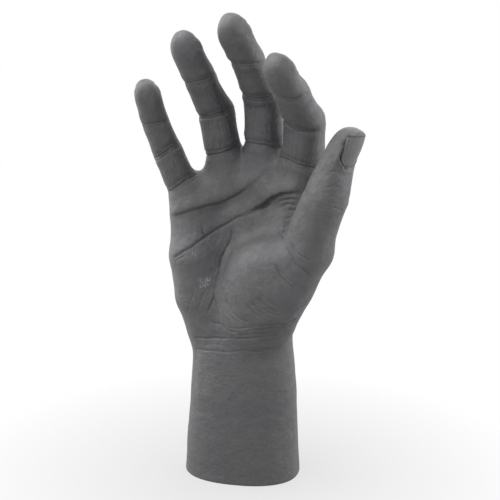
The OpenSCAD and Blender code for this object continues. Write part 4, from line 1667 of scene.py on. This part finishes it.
class DISPLAY_HAND_OT_stage(bpy.types.Operator):
    """Floor, white surround, soft lamps and the camera."""

    bl_idname = "display_hand.stage"
    bl_label = "Stage"

    def execute(self, context):
        scene = context.scene
        settings = scene.display_hand_stage
        scene.view_settings.view_transform = "Standard"
        make_surround(scene, settings.surround)
        make_floor(scene, settings.floor_shade)
        for name, place, power in LAMPS:
            add_lamp(scene, name, place, power * settings.lamps)
        add_camera(scene)
        return {"FINISHED"}


class DisplayHandSkin(bpy.types.PropertyGroup):
    """Sizes and finish of the cast skin."""

    cell: FloatProperty(
        name="Cell", description="Side of the cells that the smooth skin is grown in",
        default=0.00195, min=0.0008, max=0.003, unit="LENGTH", precision=4,
    )
    crease_share: FloatProperty(
        name="Crease depth",
        description="Depth of creases, folds and wrinkles as a share of their full depth",
        default=1.0, min=0, max=1.5, subtype="FACTOR",
    )
    colour: FloatVectorProperty(
        name="Colour", description="Grey of the casting",
        default=(0.105, 0.105, 0.109), min=0, max=1, subtype="COLOR",
    )
    # Painted shade in the creases: how much their colour is darkened
    crease_shade: FloatProperty(
        name="Crease shade", description="How much darker the casting is in its creases",
        default=0.55, min=0, max=1, subtype="FACTOR",
    )
    roughness: FloatProperty(
        name="Roughness", description="Roughness of the casting's matte surface",
        default=0.62, min=0.1, max=0.9, subtype="FACTOR",
    )


class DisplayHandFittings(bpy.types.PropertyGroup):
    """Colours of the pieces inside the wrist."""

    foam: FloatVectorProperty(
        name="Foam", description="Colour of the rigid foam",
        default=(0.71, 0.60, 0.34), min=0, max=1, subtype="COLOR",
    )
    wood: FloatVectorProperty(
        name="Plywood", description="Colour of the light plies",
        default=(0.55, 0.36, 0.17), min=0, max=1, subtype="COLOR",
    )
    steel: FloatVectorProperty(
        name="Steel", description="Colour of the weight",
        default=(0.33, 0.34, 0.35), min=0, max=1, subtype="COLOR",
    )
    zinc: FloatVectorProperty(
        name="Zinc", description="Colour of the screws",
        default=(0.62, 0.63, 0.65), min=0, max=1, subtype="COLOR",
    )
    brass: FloatVectorProperty(
        name="Brass", description="Colour of the threaded insert",
        default=(0.72, 0.53, 0.22), min=0, max=1, subtype="COLOR",
    )
    plate: FloatVectorProperty(
        name="Plate", description="Colour of the base plate",
        default=(0.012, 0.012, 0.013), min=0, max=1, subtype="COLOR",
    )


class DisplayHandStage(bpy.types.PropertyGroup):
    """Light and floor."""

    surround: FloatProperty(
        name="Surround", description="Strength of the light from the white surround",
        default=0.02, min=0, max=2,
    )
    lamps: FloatProperty(
        name="Lamps", description="Power of the soft lamps as a share of their full power",
        default=1.0, min=0, max=3, subtype="FACTOR",
    )
    floor_shade: FloatProperty(
        name="Floor", description="How much light the floor gives back",
        default=0.28, min=0, max=1, subtype="FACTOR",
    )


class DISPLAY_HAND_PT_panel(bpy.types.Panel):
    """Builds the hand piece by piece."""

    bl_label = "Display hand"
    bl_idname = "DISPLAY_HAND_PT_panel"
    bl_space_type = "VIEW_3D"
    bl_region_type = "UI"
    bl_category = "Display hand"

    def draw(self, context):
        layout = self.layout
        groups = (
            (DISPLAY_HAND_OT_stage, context.scene.display_hand_stage),
            (DISPLAY_HAND_OT_skin, context.scene.display_hand_skin),
            (DISPLAY_HAND_OT_fittings, context.scene.display_hand_fittings),
        )
        for operator, settings in groups:
            box = layout.box()
            for name in settings.__annotations__:
                box.prop(settings, name)
            box.operator(operator.bl_idname)


CLASSES = (
    DisplayHandSkin,
    DisplayHandFittings,
    DisplayHandStage,
    DISPLAY_HAND_OT_skin,
    DISPLAY_HAND_OT_fittings,
    DISPLAY_HAND_OT_stage,
    DISPLAY_HAND_PT_panel,
)


def register():
    for cls in CLASSES:
        bpy.utils.register_class(cls)
    bpy.types.Scene.display_hand_skin = PointerProperty(type=DisplayHandSkin)
    bpy.types.Scene.display_hand_fittings = PointerProperty(type=DisplayHandFittings)
    bpy.types.Scene.display_hand_stage = PointerProperty(type=DisplayHandStage)


def unregister():
    del bpy.types.Scene.display_hand_skin
    del bpy.types.Scene.display_hand_fittings
    del bpy.types.Scene.display_hand_stage
    for cls in reversed(CLASSES):
        bpy.utils.unregister_class(cls)


def main():
    register()
    bpy.ops.display_hand.stage()
    bpy.ops.display_hand.fittings()
    bpy.ops.display_hand.skin()


if __name__ == "__main__":
    main()
